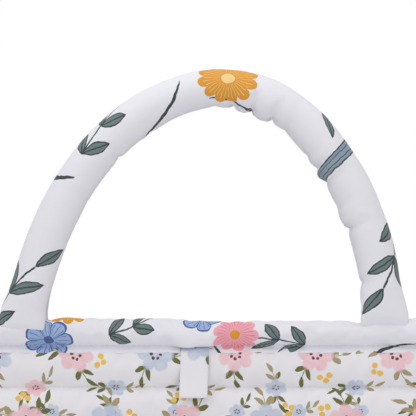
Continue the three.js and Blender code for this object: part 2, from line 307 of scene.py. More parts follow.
def ripple(across, up, wavelength, seed):
    """A smooth uneven field, mostly between -1 and 1."""
    luck = np.random.default_rng(seed)
    total = 0
    for _ in range(RIPPLE_WAVES):
        heading = luck.uniform(0, math.pi)
        pitch = wavelength * luck.uniform(*RIPPLE_PITCHES)
        along = across * math.cos(heading) + up * math.sin(heading)
        total = total + np.sin(2 * math.pi * along / pitch + luck.uniform(0, 2 * math.pi))
    return total / math.sqrt(RIPPLE_WAVES)


def smoothstep(value, low, high):
    part = np.clip((value - low) / (high - low), 0, 1)
    return part * part * (3 - 2 * part)


# Cloth

CLOTH_FRAMES = 24
CLOTH_STIFFNESS = 15.0
# How firmly wadding holds the cloth between the seams, how hard it presses, and how far the cloth may go
WADDING_HOLD = 0.3
WADDING_PRESSURE = 900
WADDING_MOST = 2 * MM


def weigh(piece, name, weights):
    """A vertex group with a weight for every point."""
    group = piece.vertex_groups.new(name=name)
    rounded = np.round(weights.ravel(), 2)
    for weight in np.unique(rounded):
        group.add(np.flatnonzero(rounded == weight).tolist(), float(weight), "REPLACE")


def stuff(cloth, hold, spare, pressure):
    """Makes a mesh soft cloth, held in part, with some to spare, and pressed out by its stuffing."""
    weigh(cloth, "held", hold)
    weigh(cloth, "fitted", 1 - spare / spare.max())
    modifier = cloth.modifiers.new("Cloth", "CLOTH")
    settings = modifier.settings
    settings.quality = 6
    settings.mass = 0.1
    settings.air_damping = 4
    settings.tension_stiffness = CLOTH_STIFFNESS
    settings.compression_stiffness = CLOTH_STIFFNESS
    settings.shear_stiffness = CLOTH_STIFFNESS / 3
    settings.bending_stiffness = 0.02
    settings.vertex_group_mass = "held"
    settings.vertex_group_shrink = "fitted"
    settings.shrink_min = -float(spare.max())
    settings.use_pressure = True
    settings.uniform_pressure_force = pressure
    settings.effector_weights.gravity = 0
    modifier.collision_settings.use_collision = False
    modifier.point_cache.frame_end = CLOTH_FRAMES


def settle(points, faces, hold, spare, pressure, most):
    """Lets stuffed cloth find its shape, and returns where its points end, kept close to their start."""
    start = points.reshape(-1, 3)
    mesh = bpy.data.meshes.new("cloth")
    mesh.from_pydata(start.tolist(), [], faces.tolist())
    cloth = link("cloth", mesh)
    stuff(cloth, hold, spare, pressure)
    scene = bpy.context.scene
    for number in range(1, CLOTH_FRAMES + 1):
        scene.frame_set(number)
    shown = cloth.evaluated_get(bpy.context.evaluated_depsgraph_get()).data
    ended = np.empty(start.size, np.float32)
    shown.vertices.foreach_get("co", ended)
    moved = ended.reshape(-1, 3) - start
    length = np.linalg.norm(moved, axis=1, keepdims=True)
    moved *= np.minimum(1, most / np.maximum(length, TINY))
    bpy.data.objects.remove(cloth)
    bpy.data.meshes.remove(mesh)
    scene.frame_set(1)
    return (start + moved).reshape(points.shape)


# Plan of the walls

CLOTH_STEP = 3 * MM
CORNER_DIP = 1.6 * MM
CORNER_REACH = 4 * MM
# Rows of a roll from its lower seam to just below its upper one, closer beside the seams
ROLL_SHARES = np.array([-1, -0.94, -0.82, -0.6, -0.3, 0, 0.3, 0.6, 0.82, 0.94])
ROLL_POWER = 6


def side_stations(body, side):
    """One side's stations from corner seam to corner seam, with the run along the crowns."""
    turns = np.array([(-1, -1), (1, -1), (1, 1), (-1, 1)])
    reach = np.array([body.length, body.width]) / 2 - body.corner_radius
    first = turns[side] * reach
    second = turns[(side + 1) % 4] * reach
    half_turn = math.pi / 4
    arc = body.corner_radius * half_turn
    straight = np.linalg.norm(second - first)
    total = straight + 2 * arc
    run = np.linspace(0, total, round(total / CLOTH_STEP) + 1)
    turned = np.minimum(run, arc) + np.maximum(run - arc - straight, 0)
    heading = (side - 1) * math.pi / 2 - half_turn + turned / body.corner_radius
    part = np.clip((run - arc) / straight, 0, 1)
    return Stations(first + (second - first) * part[:, None], heading, run)


def swept(body, stations, offset, height):
    """Points at offsets out from the crowns and at heights, on every station."""
    reach = body.corner_radius + np.broadcast_to(offset, (len(stations.run), np.shape(offset)[-1]))
    around = np.stack([np.cos(stations.heading), np.sin(stations.heading)], -1)
    flat = stations.centre[:, None] + reach[..., None] * around[:, None]
    return np.concatenate([flat, np.broadcast_to(height, reach.shape)[..., None]], -1)


def stuffed_ring(grids, free, spare_cloth):
    """Four sides' cloth, settled as one ring with its sewn rows held, and parted at the corner seams."""
    ring = np.concatenate([grid[:-1] for grid in grids])
    hold = np.where(free, WADDING_HOLD, 1.0)[None].repeat(len(ring), 0)
    spare = np.where(free, spare_cloth, 0.0)[None].repeat(len(ring), 0)
    faces = grid_faces(*ring.shape[:2], ring=True)
    ring = settle(ring, faces, hold, spare, WADDING_PRESSURE, WADDING_MOST)
    parts = []
    first = 0
    for grid in grids:
        parts.append(ring[np.arange(first, first + len(grid)) % len(ring)])
        first += len(grid) - 1
    return parts


def seam_dip(stations, depth, reach):
    """How far cloth is drawn in at the two corner seams of a side."""
    to_seam = np.minimum(stations.run, stations.run[-1] - stations.run)
    return depth * np.exp(-((to_seam / reach) ** 2))


def layers(body):
    """Offsets of the faces inside a wall: the wadding's back, the lining's two faces."""
    wadding_back = -(body.fabric + body.gap + body.batting)
    lining_front = wadding_back - body.gap
    return wadding_back, lining_front, lining_front - body.fabric


def base_heights():
    """Heights of the pad's bottom and of the floor of the lining."""
    low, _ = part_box("base_batting")
    _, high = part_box("lining_base_panel")
    return low.z, high.z


# Walls

WALL_UNEVEN = 0.25 * MM
WALL_UNEVEN_PITCH = 14 * MM
# The cloth's place in the print: how much further along each wall is than the last, and how far on its
# hidden back lies, in thicknesses of the wadding
WALL_PRINT_STEP = 0.4
WALL_PRINT_BACK = np.array([1, 3, 4])


def roll_height(body):
    return (body.top - body.bottom) / body.rolls


def wall_rows(body):
    """How far each row of a wall lies behind the crowns, its height, and whether it is a seam."""
    height = roll_height(body)
    shares = np.append(np.tile(ROLL_SHARES, body.rolls), 1)
    middles = body.bottom + (np.repeat(np.arange(body.rolls), len(ROLL_SHARES)) + 0.5) * height
    middles = np.append(middles, middles[-1])
    return -body.bulge * shares**ROLL_POWER, middles + shares * height / 2, np.abs(shares) == 1


def quilted_sides(body):
    """The four walls' stations and outer faces, puckered along their quilting."""
    offset, height, seam = wall_rows(body)
    all_stations = [side_stations(body, side) for side in range(4)]
    grids = []
    for side, stations in enumerate(all_stations):
        drawn = seam_dip(stations, CORNER_DIP, CORNER_REACH)[:, None]
        uneven = WALL_UNEVEN * ripple(stations.run[:, None], height[None], WALL_UNEVEN_PITCH, side)
        grids.append(swept(body, stations, offset - drawn + np.where(seam, 0, uneven), height))
    return all_stations, stuffed_ring(grids, ~seam, body.spare_cloth)


def make_walls(settings):
    body = settings.body
    cotton = small_print_cotton(settings.tints)
    back, _, _ = layers(body)
    all_stations, sides = quilted_sides(body)
    for side, (name, stations, outer) in enumerate(zip(SIDES, all_stations, sides)):
        inner = swept(body, stations, np.array([back, back]), np.array([body.top, body.bottom]))
        points = np.concatenate([outer, inner], 1)
        up = steps_along(outer[len(outer) // 2], 0)
        up = np.append(up, up[-1] + body.batting * WALL_PRINT_BACK)
        print_map = on_print(stations.run[:, None] + WALL_PRINT_STEP * side, up[None])
        wall = loft(f"{name}_wall", points, print_map, cotton)
        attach(wall, "basket")
        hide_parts(f"outer_{name}_panel", f"{name}_wall_batting")


# Rim

ROLL_ARC_STEPS = 26
# Rows of the flange from its edge up: their shares of its height, and of the gap to the wall
FLANGE_SHARES = np.array([1, 0.85, 0.4, 0.1])
FLANGE_PROUD = np.array([0, 0.5, 1, 1])
RIM_DIP = 0.9 * MM
RIM_DIP_REACH = 3 * MM
RIM_UNEVEN = 0.35 * MM
RIM_UNEVEN_PITCH = 30 * MM
RIM_SEED = 10
RIM_WANDER = 0.6 * MM
RIM_WANDER_PITCH = 120 * MM
WANDER_SEED = 20
# The cloth's place in the print: how much further along each side is than the last, and how far up
RIM_PRINT_STEP = 0.29
RIM_PRINT_UP = 0.097
# Where the roll thins and swells again, left to right
SLUMP_STARTS = (-34 * MM, 12 * MM)
SLUMP_ENDS = (88 * MM, 120 * MM)
# The sides that carry a handle, and which handle it is
FOOTED_SIDES = {"front": "front", "back": "rear"}
# Where the roll under a foot rises again, in half widths of the foot
FOOT_PRESS_REACH = (0.8, 1.7)
# How wide of the tab the roll is drawn, how far out for each step down, and at which shares of its radius
PULL_REACH = 0.75
PULL_OUT = 0.9
PULL_STARTS = (0, 0.2)
PULL_ENDS = (0.3, 1)


def rim_middle(body, rim):
    """Offset and height of the middle of the rim's roll."""
    return rim.overhang - rim.diameter / 2, body.top + rim.lift + rim.diameter / 2


def rim_top(body, rim):
    return rim_middle(body, rim)[1] + rim.diameter / 2


def rim_rows(body, rim):
    """The rim's cloth in section, from the flange over the roll to the hem, and which rows are free."""
    middle, height = rim_middle(body, rim)
    radius = rim.diameter / 2
    _, _, lining_back = layers(body)
    below = rim.flange * FLANGE_SHARES
    sunk = body.bulge * (1 - 2 * below / roll_height(body)) ** ROLL_POWER
    flange = body.gap * FLANGE_PROUD - sunk
    groove = -body.bulge
    hem = lining_back - body.gap - body.fabric
    first = -math.acos((groove - middle) / radius)
    last = 2 * math.pi - math.acos((hem - middle) / radius)
    angle = np.linspace(first, last, ROLL_ARC_STEPS + 1)
    close_to_groove = first + 0.25 * (angle[1] - first)
    angle = np.insert(angle, 1, close_to_groove)
    offset = np.concatenate([flange, middle + radius * np.cos(angle), [hem, hem]])
    heights = np.concatenate([body.top - below, height + radius * np.sin(angle)])
    heights = np.append(heights, [body.top - rim.hem / 2, body.top - rim.hem])
    free = np.zeros(len(offset), bool)
    rows_by_groove, rows_by_hem = 3, 4
    free[len(below) + rows_by_groove : -rows_by_hem] = True
    return offset, heights, free


def foot_places(handle, place):
    """How far to the side a handle's two feet stand."""
    arch = arch_line(handle, place, COARSE_ARCH)
    return arch[0, 0], arch[-1, 0]


def pressed(points, body, rim, feet, half_width):
    """The roll pressed down under the two feet that are sewn to it."""
    _, height = rim_middle(body, rim)
    up = smoothstep((points[..., 2] - height) / (rim.diameter / 2), 0, 1)
    for foot in feet:
        away = np.abs(points[..., 0] - foot) / half_width
        under = 1 - smoothstep(away, *FOOT_PRESS_REACH)
        points[..., 2] -= rim.foot_press * under * up
    return points


def slumped(points, body, rim):
    """The roll thinner right of the middle and towards the back; its underside stays."""
    _, height = rim_middle(body, rim)
    x, y = points[..., 0], points[..., 1]
    right = smoothstep(x, *SLUMP_STARTS) * (1 - smoothstep(x, *SLUMP_ENDS))
    back = smoothstep(y, -body.width / 2, body.width / 2)
    up = np.clip((points[..., 2] - height) / rim.diameter + 0.5, 0, 1)
    points[..., 2] -= (rim.slump * right + rim.back_slump * back) * up
    return points


def pulled(points, body, rim, tab):
    """The roll's underside drawn down and out over the tab that is sewn into its groove."""
    aside = (points[..., 0] - middle_of("front_tab").x) / (PULL_REACH * tab.width)
    up = (points[..., 2] - body.top - rim.lift) / (rim.diameter / 2)
    share_drawn = np.exp(-(aside**4)) * smoothstep(up, *PULL_STARTS) * (1 - smoothstep(up, *PULL_ENDS))
    points[..., 1] -= PULL_OUT * tab.pull * share_drawn
    points[..., 2] -= tab.pull * share_drawn
    return points


def rolled_sides(settings):
    """The rim's stations and outer faces on its four sides, pressed by the feet and drawn by the tab."""
    body, rim, handle = settings.body, settings.rim, settings.handle
    offset, height, free = rim_rows(body, rim)
    all_stations = [side_stations(body, side) for side in range(4)]
    grids = []
    for side, (name, stations) in enumerate(zip(SIDES, all_stations)):
        drawn = seam_dip(stations, RIM_DIP, RIM_DIP_REACH)[:, None]
        uneven = RIM_UNEVEN * ripple(stations.run[:, None], height[None], RIM_UNEVEN_PITCH, RIM_SEED + side)
        points = swept(body, stations, offset + np.where(free, uneven - drawn, 0), height)
        wander = ripple(points[..., 0], np.abs(points[..., 1]), RIM_WANDER_PITCH, WANDER_SEED)
        points[..., 2] += np.where(free, RIM_WANDER * wander, 0)
        points = slumped(points, body, rim)
        if name == "front":
            points = pulled(points, body, rim, settings.tab)
        if name in FOOTED_SIDES:
            feet = foot_places(handle, FOOTED_SIDES[name])
            points = pressed(points, body, rim, feet, handle.foot_width / 2)
        grids.append(points)
    return all_stations, stuffed_ring(grids, free, rim.spare_cloth)


def make_rim(settings):
    body, rim = settings.body, settings.rim
    cotton = large_print_cotton(settings.tints)
    flange = rim_rows(body, rim)[0][0]
    hem = layers(body)[2] - body.gap
    groove = -body.bulge - body.fabric
    edge = body.top - rim.flange - body.fabric / 2
    inside = np.array([hem, hem, groove, flange - body.fabric])
    inside_height = np.array([body.top - rim.hem, body.top + rim.lift, body.top + rim.lift, edge])
    all_stations, sides = rolled_sides(settings)
    for side, (name, stations, outer) in enumerate(zip(SIDES, all_stations, sides)):
        back = swept(body, stations, inside, inside_height)
        points = np.concatenate([outer, back], 1)
        up = steps_along(outer, 1)
        up = np.concatenate([up, up[:, -1:] + np.arange(1, len(inside) + 2) * rim.hem], 1)
        print_map = on_print(stations.run[:, None] + RIM_PRINT_STEP * side, up + RIM_PRINT_UP)
        piece = loft(f"{name}_rim", points, print_map, cotton)
        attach(piece, "basket")
        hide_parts(f"rim_{name}_cover", f"rim_{name}_filler")


# Handles

TUBE_SIDES = 36
TUBE_STEP = 2.2 * MM
FINE_ARCH = 2000
COARSE_ARCH = 400
# How much narrower and thinner a foot is at its very end
FOOT_NARROWING = 0.04
FOOT_THINNING = 0.85
LUMP_PITCH = 70 * MM
LUMP_SEED = 12
# Where along the tube it is slimmest, and how far that reaches, as shares of its length
SLIM_AT = 0.55
SLIM_REACH = 0.12
# How firmly the cloth is held on the outside of the arch, in a tuck and where it has nothing to spare
OUTSIDE_HOLD = 0.7
TUCK_HOLD = 0.55
SNUG_HOLD = 0.42
FIRM_TUCK = 1 * MM
LOOSE_CLOTH = 0.1
SEWN_END = 3 * MM
BUMPS = 0.1 * MM
BUMP_SEED = 30
STUFFING_MOST = 4 * MM
# The cloth's place in the print, along the tube and round it
HANDLE_PRINT = (0.02, 0.035)
TUCK_WIDTH = 2.2 * MM
# Each tuck inside an arch: its share of the way from the left foot to the right, its depth,
# and the extra cloth from there to the next tuck
TUCKS = (
    (0.23, 0.5 * MM, 0.0),
    (0.317, 1.8 * MM, 0.02),
    (0.384, 0.7 * MM, 0.0),
    (0.509, 0.6 * MM, 0.1),
    (0.539, 1.4 * MM, 0.3),
    (0.573, 1.8 * MM, 0.3),
    (0.612, 1.8 * MM, 0.08),
    (0.643, 0.6 * MM, 0.03),
    (0.7, 0.4 * MM, 0.1),
    (0.726, 1.4 * MM, 0.22),
    (0.754, 1.6 * MM, 0.02),
    (0.8, 0.2 * MM, 0.12),
    (0.838, 2.2 * MM, 0.0),
    (0.929, 1.6 * MM, 0.03),
    (0.985, 0.4 * MM, 0.0),
)


def arch_line(handle, place, count):
    """The middle of a handle's tube from left foot to right, as distances across and over the rim."""
    rear = place == "rear"
    span = handle.span + (handle.rear_extra_span if rear else 0)
    rise = handle.rise + (handle.rear_extra_rise if rear else 0)
    angle = np.linspace(0, math.pi, count)
    shoulder = np.where(angle < math.pi / 2, handle.left_shoulder, handle.right_shoulder)
    up = np.sin(angle) ** (2 / shoulder)
    across = -span / 2 * np.cos(angle) + handle.crown_lean * up**handle.lean_power
    line = np.stack([across, rise * up], -1)
    low = handle.foot_thickness / 2
    return line[line[:, 1] >= low]


def even_line(line, spacing):
    """The same line with points at even distances."""
    along = steps_along(line, 0)
    marks = np.linspace(0, along[-1], round(along[-1] / spacing) + 1)
    return np.stack([np.interp(marks, along, line[:, i]) for i in (0, 1)], -1)


def tube_rings(handle, line):
    """Each ring's way along a handle, its direction across, half width and half thickness."""
    along = steps_along(line, 0)
    from_foot = np.minimum(along, along[-1] - along)
    swell = smoothstep(from_foot, handle.foot_neck, handle.foot_neck + handle.foot_taper)
    pinch = 1 - smoothstep(from_foot, 0, 2 * handle.foot_neck)
    half_width = (handle.foot_width + (handle.diameter - handle.foot_width) * swell) / 2
    half_width *= 1 - FOOT_NARROWING * pinch
    half_thickness = (handle.foot_thickness + (handle.diameter - handle.foot_thickness) * swell) / 2
    half_thickness *= 1 - FOOT_THINNING * pinch
    forward = np.gradient(line, along, axis=0)
    lean = np.stack([forward[:, 1], -forward[:, 0]], -1)
    level = np.where(along < along[-1] / 2, 1.0, -1.0)[:, None] * np.array([1.0, 0.0])
    across = level + (lean - level) * swell[:, None]
    across /= np.linalg.norm(across, axis=1, keepdims=True)
    return along, across, half_width, half_thickness


def tucked(along):
    """How deep the tucks draw the cloth in along a handle, and how much spare cloth lies between them."""
    part = along / along[-1]
    depth = np.zeros_like(part)
    spare = np.zeros_like(part)
    fade = 2 * TUCK_WIDTH / along[-1]
    for (here, drawn, extra), (there, _, _) in zip(TUCKS, (*TUCKS[1:], (1.0, 0, 0))):
        depth += drawn * np.exp(-(((part - here) * along[-1] / TUCK_WIDTH) ** 2))
        spare += extra * smoothstep(part, here, here + fade) * (1 - smoothstep(part, there - fade, there))
    return depth, spare


def foot_bend(rim, handle, line, feet):
    """How far each ring leans out over the roll and spreads to its side, towards the feet's sewn ends."""
    radius = rim.diameter / 2
    lean = np.zeros(len(line))
    spread = np.zeros(len(line))
    middle = len(line) // 2
    for half, side, (drop, splay) in zip((slice(None, middle), slice(middle, None)), (-1, 1), feet):
        reach = 1 - smoothstep(line[half, 1], -drop, handle.foot_taper)
        surface = math.sqrt(radius**2 - (radius - drop) ** 2)
        lean[half] = (surface - handle.foot_set) * reach
        spread[half] = side * splay * reach
    return lean, spread


def tube_hold(depth, extra, inner, ends):
    """How firmly each point of a handle's cloth is held while it settles."""
    tuck = TUCK_HOLD * np.minimum(1, depth[:, None] / FIRM_TUCK) * inner
    snug = SNUG_HOLD * (1 - np.minimum(1, extra[:, None] / LOOSE_CLOTH)) * inner
    return np.where(ends, 1, np.maximum(OUTSIDE_HOLD * (1 - inner), np.maximum(tuck, snug)))


def stuffed_tube(body, rim, handle, place, feet):
    """A handle's cloth, tucked along the inside of its arch, with its feet on the roll."""
    arch = arch_line(handle, place, FINE_ARCH)
    base = rim_top(body, rim)
    tails = [np.array([arch[end][0], -drop]) for end, (drop, _) in zip((0, -1), feet)]
    line = even_line(np.concatenate([tails[:1], arch, tails[1:]]), TUBE_STEP)
    along, across, half_width, half_thickness = tube_rings(handle, line)
    out = -1 if place == "front" else 1
    lumps = 1 + handle.uneven * ripple(along, out * along, LUMP_PITCH, LUMP_SEED)
    half_width *= lumps
    half_thickness *= lumps
    lean, spread = foot_bend(rim, handle, line, feet)
    plane = middle_of(f"{place}_handle_cover").y + out * lean[:, None]
    turn = np.linspace(0, 2 * math.pi, TUBE_SIDES, endpoint=False)
    inner = (1 + np.cos(turn)) / 2
    depth, extra = tucked(along)
    slim = handle.crown_slim * np.exp(-((along / along[-1] - SLIM_AT) ** 2) / SLIM_REACH**2)
    drawn = 1 - ((depth + slim) / half_width)[:, None] * inner**2
    wide = half_width[:, None] * np.cos(turn) * drawn
    deep = half_thickness[:, None] * np.sin(turn) * drawn
    x = line[:, :1] + spread[:, None] + across[:, :1] * wide
    z = base + line[:, 1:] + across[:, 1:] * wide
    points = np.stack([x, plane + deep, z], -1)
    ends = (np.minimum(along, along[-1] - along) < SEWN_END)[:, None]
    spare = np.where(ends, 0, extra[:, None] * inner**2)
    hold = tube_hold(depth, extra, inner, ends)
    bumps = np.random.default_rng(BUMP_SEED).normal(0, BUMPS, points.shape)
    start = (points + np.where(ends[..., None], 0, bumps)).transpose(1, 0, 2)
    faces = grid_faces(TUBE_SIDES, len(line), ring=True)
    settled = settle(start, faces, hold.T, spare.T, handle.pressure, STUFFING_MOST)
    return settled.transpose(1, 0, 2), along


def make_handles(settings):
    body, rim, handle = settings.body, settings.rim, settings.handle
    cotton = large_print_cotton(settings.tints)
    rear_foot = (handle.rear_drop, handle.rear_splay)
    pairs = {
        "front": ((handle.left_drop, handle.left_splay), (handle.right_drop, handle.right_splay)),
        "rear": (rear_foot, rear_foot),
    }
    girth = math.pi * handle.diameter
    for place, feet in pairs.items():
        points, along = stuffed_tube(body, rim, handle, place, feet)
        around = np.linspace(-0.25, 0.75, TUBE_SIDES + 1) * girth
        print_map = on_print(along[:, None] + HANDLE_PRINT[0], around[None] + HANDLE_PRINT[1])
        piece = loft(f"{place}_handle", points, print_map, cotton)
        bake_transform(piece)
        ends = [f"{place}_handle_{hand}_end" for hand in ("left", "right")]
        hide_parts(f"{place}_handle_cover", f"{place}_handle_stuffing", *ends)


# Lining and base

LINING_ROWS = 60
LINING_SLACK = 2.2 * MM
LINING_SLACK_PITCH = 70 * MM
# Slack runs further up the cloth than across it
LINING_SLACK_SQUEEZE = 0.5
SLACK_SEED = 40
LINING_CREASE = 0.35 * MM
LINING_CREASE_PITCH = 24 * MM
CREASE_SEED = 50
LINING_LOOSE = 0.4 * MM
# How soon the lining is free of its upper and lower edges, and of its corner seams
LINING_FREE_POWER = 0.7
LINING_SEAM_REACH = 12 * MM
# The cloth's place in the print: each side's step along, the way up, and the hidden face's way up
LINING_PRINT_STEP = 0.31
LINING_PRINT_UP = 0.012
LINING_PRINT_BACK = 1
PAD_CELLS = (110, 84)
PAD_EDGE = (0.93, 1.0)
PAD_ROUNDING = 1.6 * MM
PAD_CROWN = 1.2 * MM
PAD_UNEVEN = 0.5 * MM
PAD_UNEVEN_PITCH = 60 * MM
PAD_SEED = 60
PAD_PRINT = 0.4
BASE_CELLS = (60, 46)
BASE_PRINT = 0.2


def drape(stations, up, side):
    """How far each point of a side's lining hangs off its wall."""
    share_up = np.clip((up - up[0]) / (up[-1] - up[0]), 0, 1)
    free = np.sin(math.pi * share_up) ** LINING_FREE_POWER
    run = stations.run[:, None]
    slack = ripple(run, up[None] * LINING_SLACK_SQUEEZE, LINING_SLACK_PITCH, SLACK_SEED + side)
    creases = ripple(run, up[None], LINING_CREASE_PITCH, CREASE_SEED + side)
    hanging = LINING_SLACK * np.clip(0.5 + 0.5 * slack, 0, None) + LINING_CREASE * creases + LINING_LOOSE
    held = seam_dip(stations, 1, LINING_SEAM_REACH)[:, None]
    return np.clip(hanging * free[None], 0, None) * (1 - held)


def make_lining(settings):
    body = settings.body
    cotton = large_print_cotton(settings.tints)
    _, front, back = layers(body)
    _, floor = base_heights()
    up = np.linspace(floor + body.gap, body.top, LINING_ROWS)
    for side, name in enumerate(SIDES):
        stations = side_stations(body, side)
        hanging = drape(stations, up, side)
        seen = swept(body, stations, back - hanging, up)
        hidden = swept(body, stations, (front - hanging)[:, ::-1], up[::-1])
        points = np.concatenate([seen, hidden], 1)
        rows = np.concatenate([up, up[::-1] + LINING_PRINT_BACK, [up[0] + LINING_PRINT_BACK]])
        print_map = on_print(stations.run[:, None] + LINING_PRINT_STEP * side, rows[None] + LINING_PRINT_UP)
        piece = loft(f"{name}_lining", points, print_map, cotton, smooth=0)
        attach(piece, "basket")
        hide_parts(f"lining_{name}_panel")


def rounded_grid(half_x, half_y, radius, columns, rows):
    """A grid that fills a rounded rectangle, and each point's share of the way to its edge."""
    x, y = np.meshgrid(np.linspace(-1, 1, columns), np.linspace(-1, 1, rows), indexing="ij")
    out = np.maximum(np.abs(x), np.abs(y))
    safe = np.maximum(out, TINY)
    edge = np.stack([x / safe * half_x, y / safe * half_y], -1)
    core = np.array([half_x, half_y]) - radius
    corner = np.clip(edge, -core, core)
    spoke = edge - corner
    length = np.linalg.norm(spoke, axis=-1, keepdims=True)
    spoke *= np.minimum(1, radius / np.maximum(length, TINY))
    return (corner + spoke) * out[..., None], out


def slab(name, flat, top, bottom, material, shift):
    """A closed cloth plate between two heights over the same grid."""
    columns, rows = flat.shape[:2]
    upper = np.concatenate([flat, top[..., None]], -1).reshape(-1, 3)
    lower = np.concatenate([flat, bottom[..., None]], -1).reshape(-1, 3)
    count = len(upper)
    faces = grid_faces(columns, rows, ring=False)
    index = np.arange(count).reshape(columns, rows)
    border = np.concatenate([index[:, 0], index[-1, 1:], index[-2::-1, -1], index[0, -2:0:-1]])
    after = np.roll(border, -1)
    sides = np.stack([border, after, after + count, border + count], -1)
    every = np.concatenate([faces, faces[:, ::-1] + count, sides])
    mesh = bpy.data.meshes.new(name)
    points = np.concatenate([upper, lower])
    mesh.from_pydata(points.tolist(), [], every.tolist())
    lay_print(mesh, points[every.ravel(), :2] + shift)
    return finished(name, mesh, material, smooth=0)


def make_base(settings):
    body = settings.body
    pad_low, pad_high = base_heights()
    _, front, _ = layers(body)
    half = np.array([body.length, body.width]) / 2 + front
    flat, out = rounded_grid(*half, body.corner_radius + front, *PAD_CELLS)
    rounded = np.sqrt(np.clip(1 - smoothstep(out, *PAD_EDGE) ** 2, 0, 1))
    uneven = PAD_UNEVEN * ripple(flat[..., 0], flat[..., 1], PAD_UNEVEN_PITCH, PAD_SEED)
    crown = pad_high - PAD_ROUNDING * (1 - rounded) + PAD_CROWN * (1 - out**2) + uneven * rounded
    under = np.full_like(out, pad_low)
    pad = slab("base_pad", flat, crown, under, large_print_cotton(settings.tints), PAD_PRINT)
    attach(pad, "basket")
    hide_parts("lining_base_panel", "base_batting")

    half = np.array([body.length, body.width]) / 2 - body.bulge
    flat, out = rounded_grid(*half, body.corner_radius - body.bulge, *BASE_CELLS)
    low = np.zeros_like(out)
    cotton = small_print_cotton(settings.tints)
    cloth = slab("base_cloth", flat, low + body.fabric, low, cotton, BASE_PRINT)
    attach(cloth, "basket")
    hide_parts("outer_base_panel")

    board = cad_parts["base_board"]
    board.data.materials.clear()
    board.data.materials.append(grey_board(settings.tints))


# Tab

TAB_COLUMNS = 25
TAB_ROWS = 38
# How square the tab's edges are, and how thin its edges and its fold get at least, as squared shares
TAB_EDGE_POWER = 14
TAB_EDGE_LEAST = 0.02
TAB_FOLD_LEAST = 0.03
TAB_FOLD = (0.94, 1.0)
# The share of its thickness left in the groove, and how far down the tab is pressed
TAB_PRESSED = 0.45
TAB_PRESSED_REACH = 0.35
TAB_SWELL = 0.2 * MM
TAB_SWELL_ENDS = (0.05, 0.45)
TAB_CURL_POWER = 1.8
TAB_BOW = 0.35 * MM
TAB_SKEW = 0.5 * MM
# The cloth's place in the print, across and up, and how far on its back and its end lie, in tab lengths
# Across and up, this place puts a pale blue wash blossom at the tab's top: it is print, and it is also a
# painted shade for the shadow under the roll
TAB_PRINT_AND_PAINTED_SHADE = (0.0935, 0.1905)
TAB_PRINT_BACK = 2
TAB_PRINT_END = 2.2


def tab_section(body, tab, down, root):
    """How far the tab's middle stands off its place in the frame, and its thickness, row by row."""
    hang = np.clip(down / tab.length, 0, 1)
    in_groove = np.clip(1 - 2 * (down + root) / roll_height(body), 0, 1)
    flat = TAB_PRESSED + (1 - TAB_PRESSED) * smoothstep(down, -root, TAB_PRESSED_REACH * tab.length)
    swell = TAB_SWELL * smoothstep(down, -root, 0) * (1 - smoothstep(hang, *TAB_SWELL_ENDS))
    stand = body.gap + swell + tab.curl * hang**TAB_CURL_POWER - body.bulge * in_groove**ROLL_POWER
    fold = np.sqrt(np.clip(1 - smoothstep(hang, *TAB_FOLD) ** 2, TAB_FOLD_LEAST, 1))
    return stand + tab.thickness / 2 * flat, tab.thickness * fold * flat


def make_tab(settings):
    body, tab = settings.body, settings.tab
    _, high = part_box("front_tab")
    middle = middle_of("front_tab")
    hinge = high.z - tab.thickness / 2
    root = body.top - hinge
    across = np.linspace(-0.5, 0.5, TAB_COLUMNS)
    down = np.linspace(-root, tab.length, TAB_ROWS)
    stand, thickness = tab_section(body, tab, down, root)
    rounded = np.sqrt(np.clip(1 - np.abs(2 * across) ** TAB_EDGE_POWER, TAB_EDGE_LEAST, 1))
    bow = TAB_BOW * (1 - (2 * across) ** 2)
    half = rounded[:, None] * thickness[None] / 2
    centre = stand[None] - high.y + bow[:, None]
    height = hinge - down
    skew = TAB_SKEW * (1 - 2 * np.clip(down / tab.length, 0, 1))
    x = middle.x + across[:, None] * tab.width + skew[None]
    front_face = np.stack(np.broadcast_arrays(x, -(centre + half), height[None]), -1)
    back_face = np.stack(np.broadcast_arrays(x, -(centre - half), height[None]), -1)
    points = np.concatenate([front_face, back_face[:, ::-1]], 1)
    whole = tab.length + root
    rows = np.concatenate([-down, down[::-1] - TAB_PRINT_BACK * whole, [root - TAB_PRINT_END * whole]])
    # The pale blue blossom at the tab's top is print, and it is also a painted shade under the roll
    print_map = on_print(across[:, None] * tab.width + TAB_PRINT_AND_PAINTED_SHADE[0], rows[None] + TAB_PRINT_AND_PAINTED_SHADE[1])
    piece = loft("hanging_tab", points, print_map, small_print_cotton(settings.tints))
    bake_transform(piece)
    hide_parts("front_tab")


# Stitches

# Segments, rings and radius of the bead that is stretched to a stitch
BEAD = (5, 4, 0.5)
STITCH_TILT = 0.1
STITCH_SEED = 5
# How far a stitch stands out of its seam, in thicknesses of the thread
STITCH_PROUD = 0.6


class Nodes:
    """Adds nodes to a tree one after another and joins them up."""

    def __init__(self, tree):
        self.tree = tree

    def node(self, kind, *values, **settings):
        made = self.tree.nodes.new(kind)
        for name, value in settings.items():
            setattr(made, name, value)
        for socket, value in zip(made.inputs, values):
            self.feed(socket, value)
        return made

    def feed(self, socket, value):
        if isinstance(value, bpy.types.NodeSocket):
            self.tree.links.new(value, socket)
        elif value is not None:
            socket.default_value = value

    def fill(self, made, inputs):
        """Feeds a node's inputs by their names."""
        for name, value in inputs.items():
            self.feed(made.inputs[name], value)
        return made


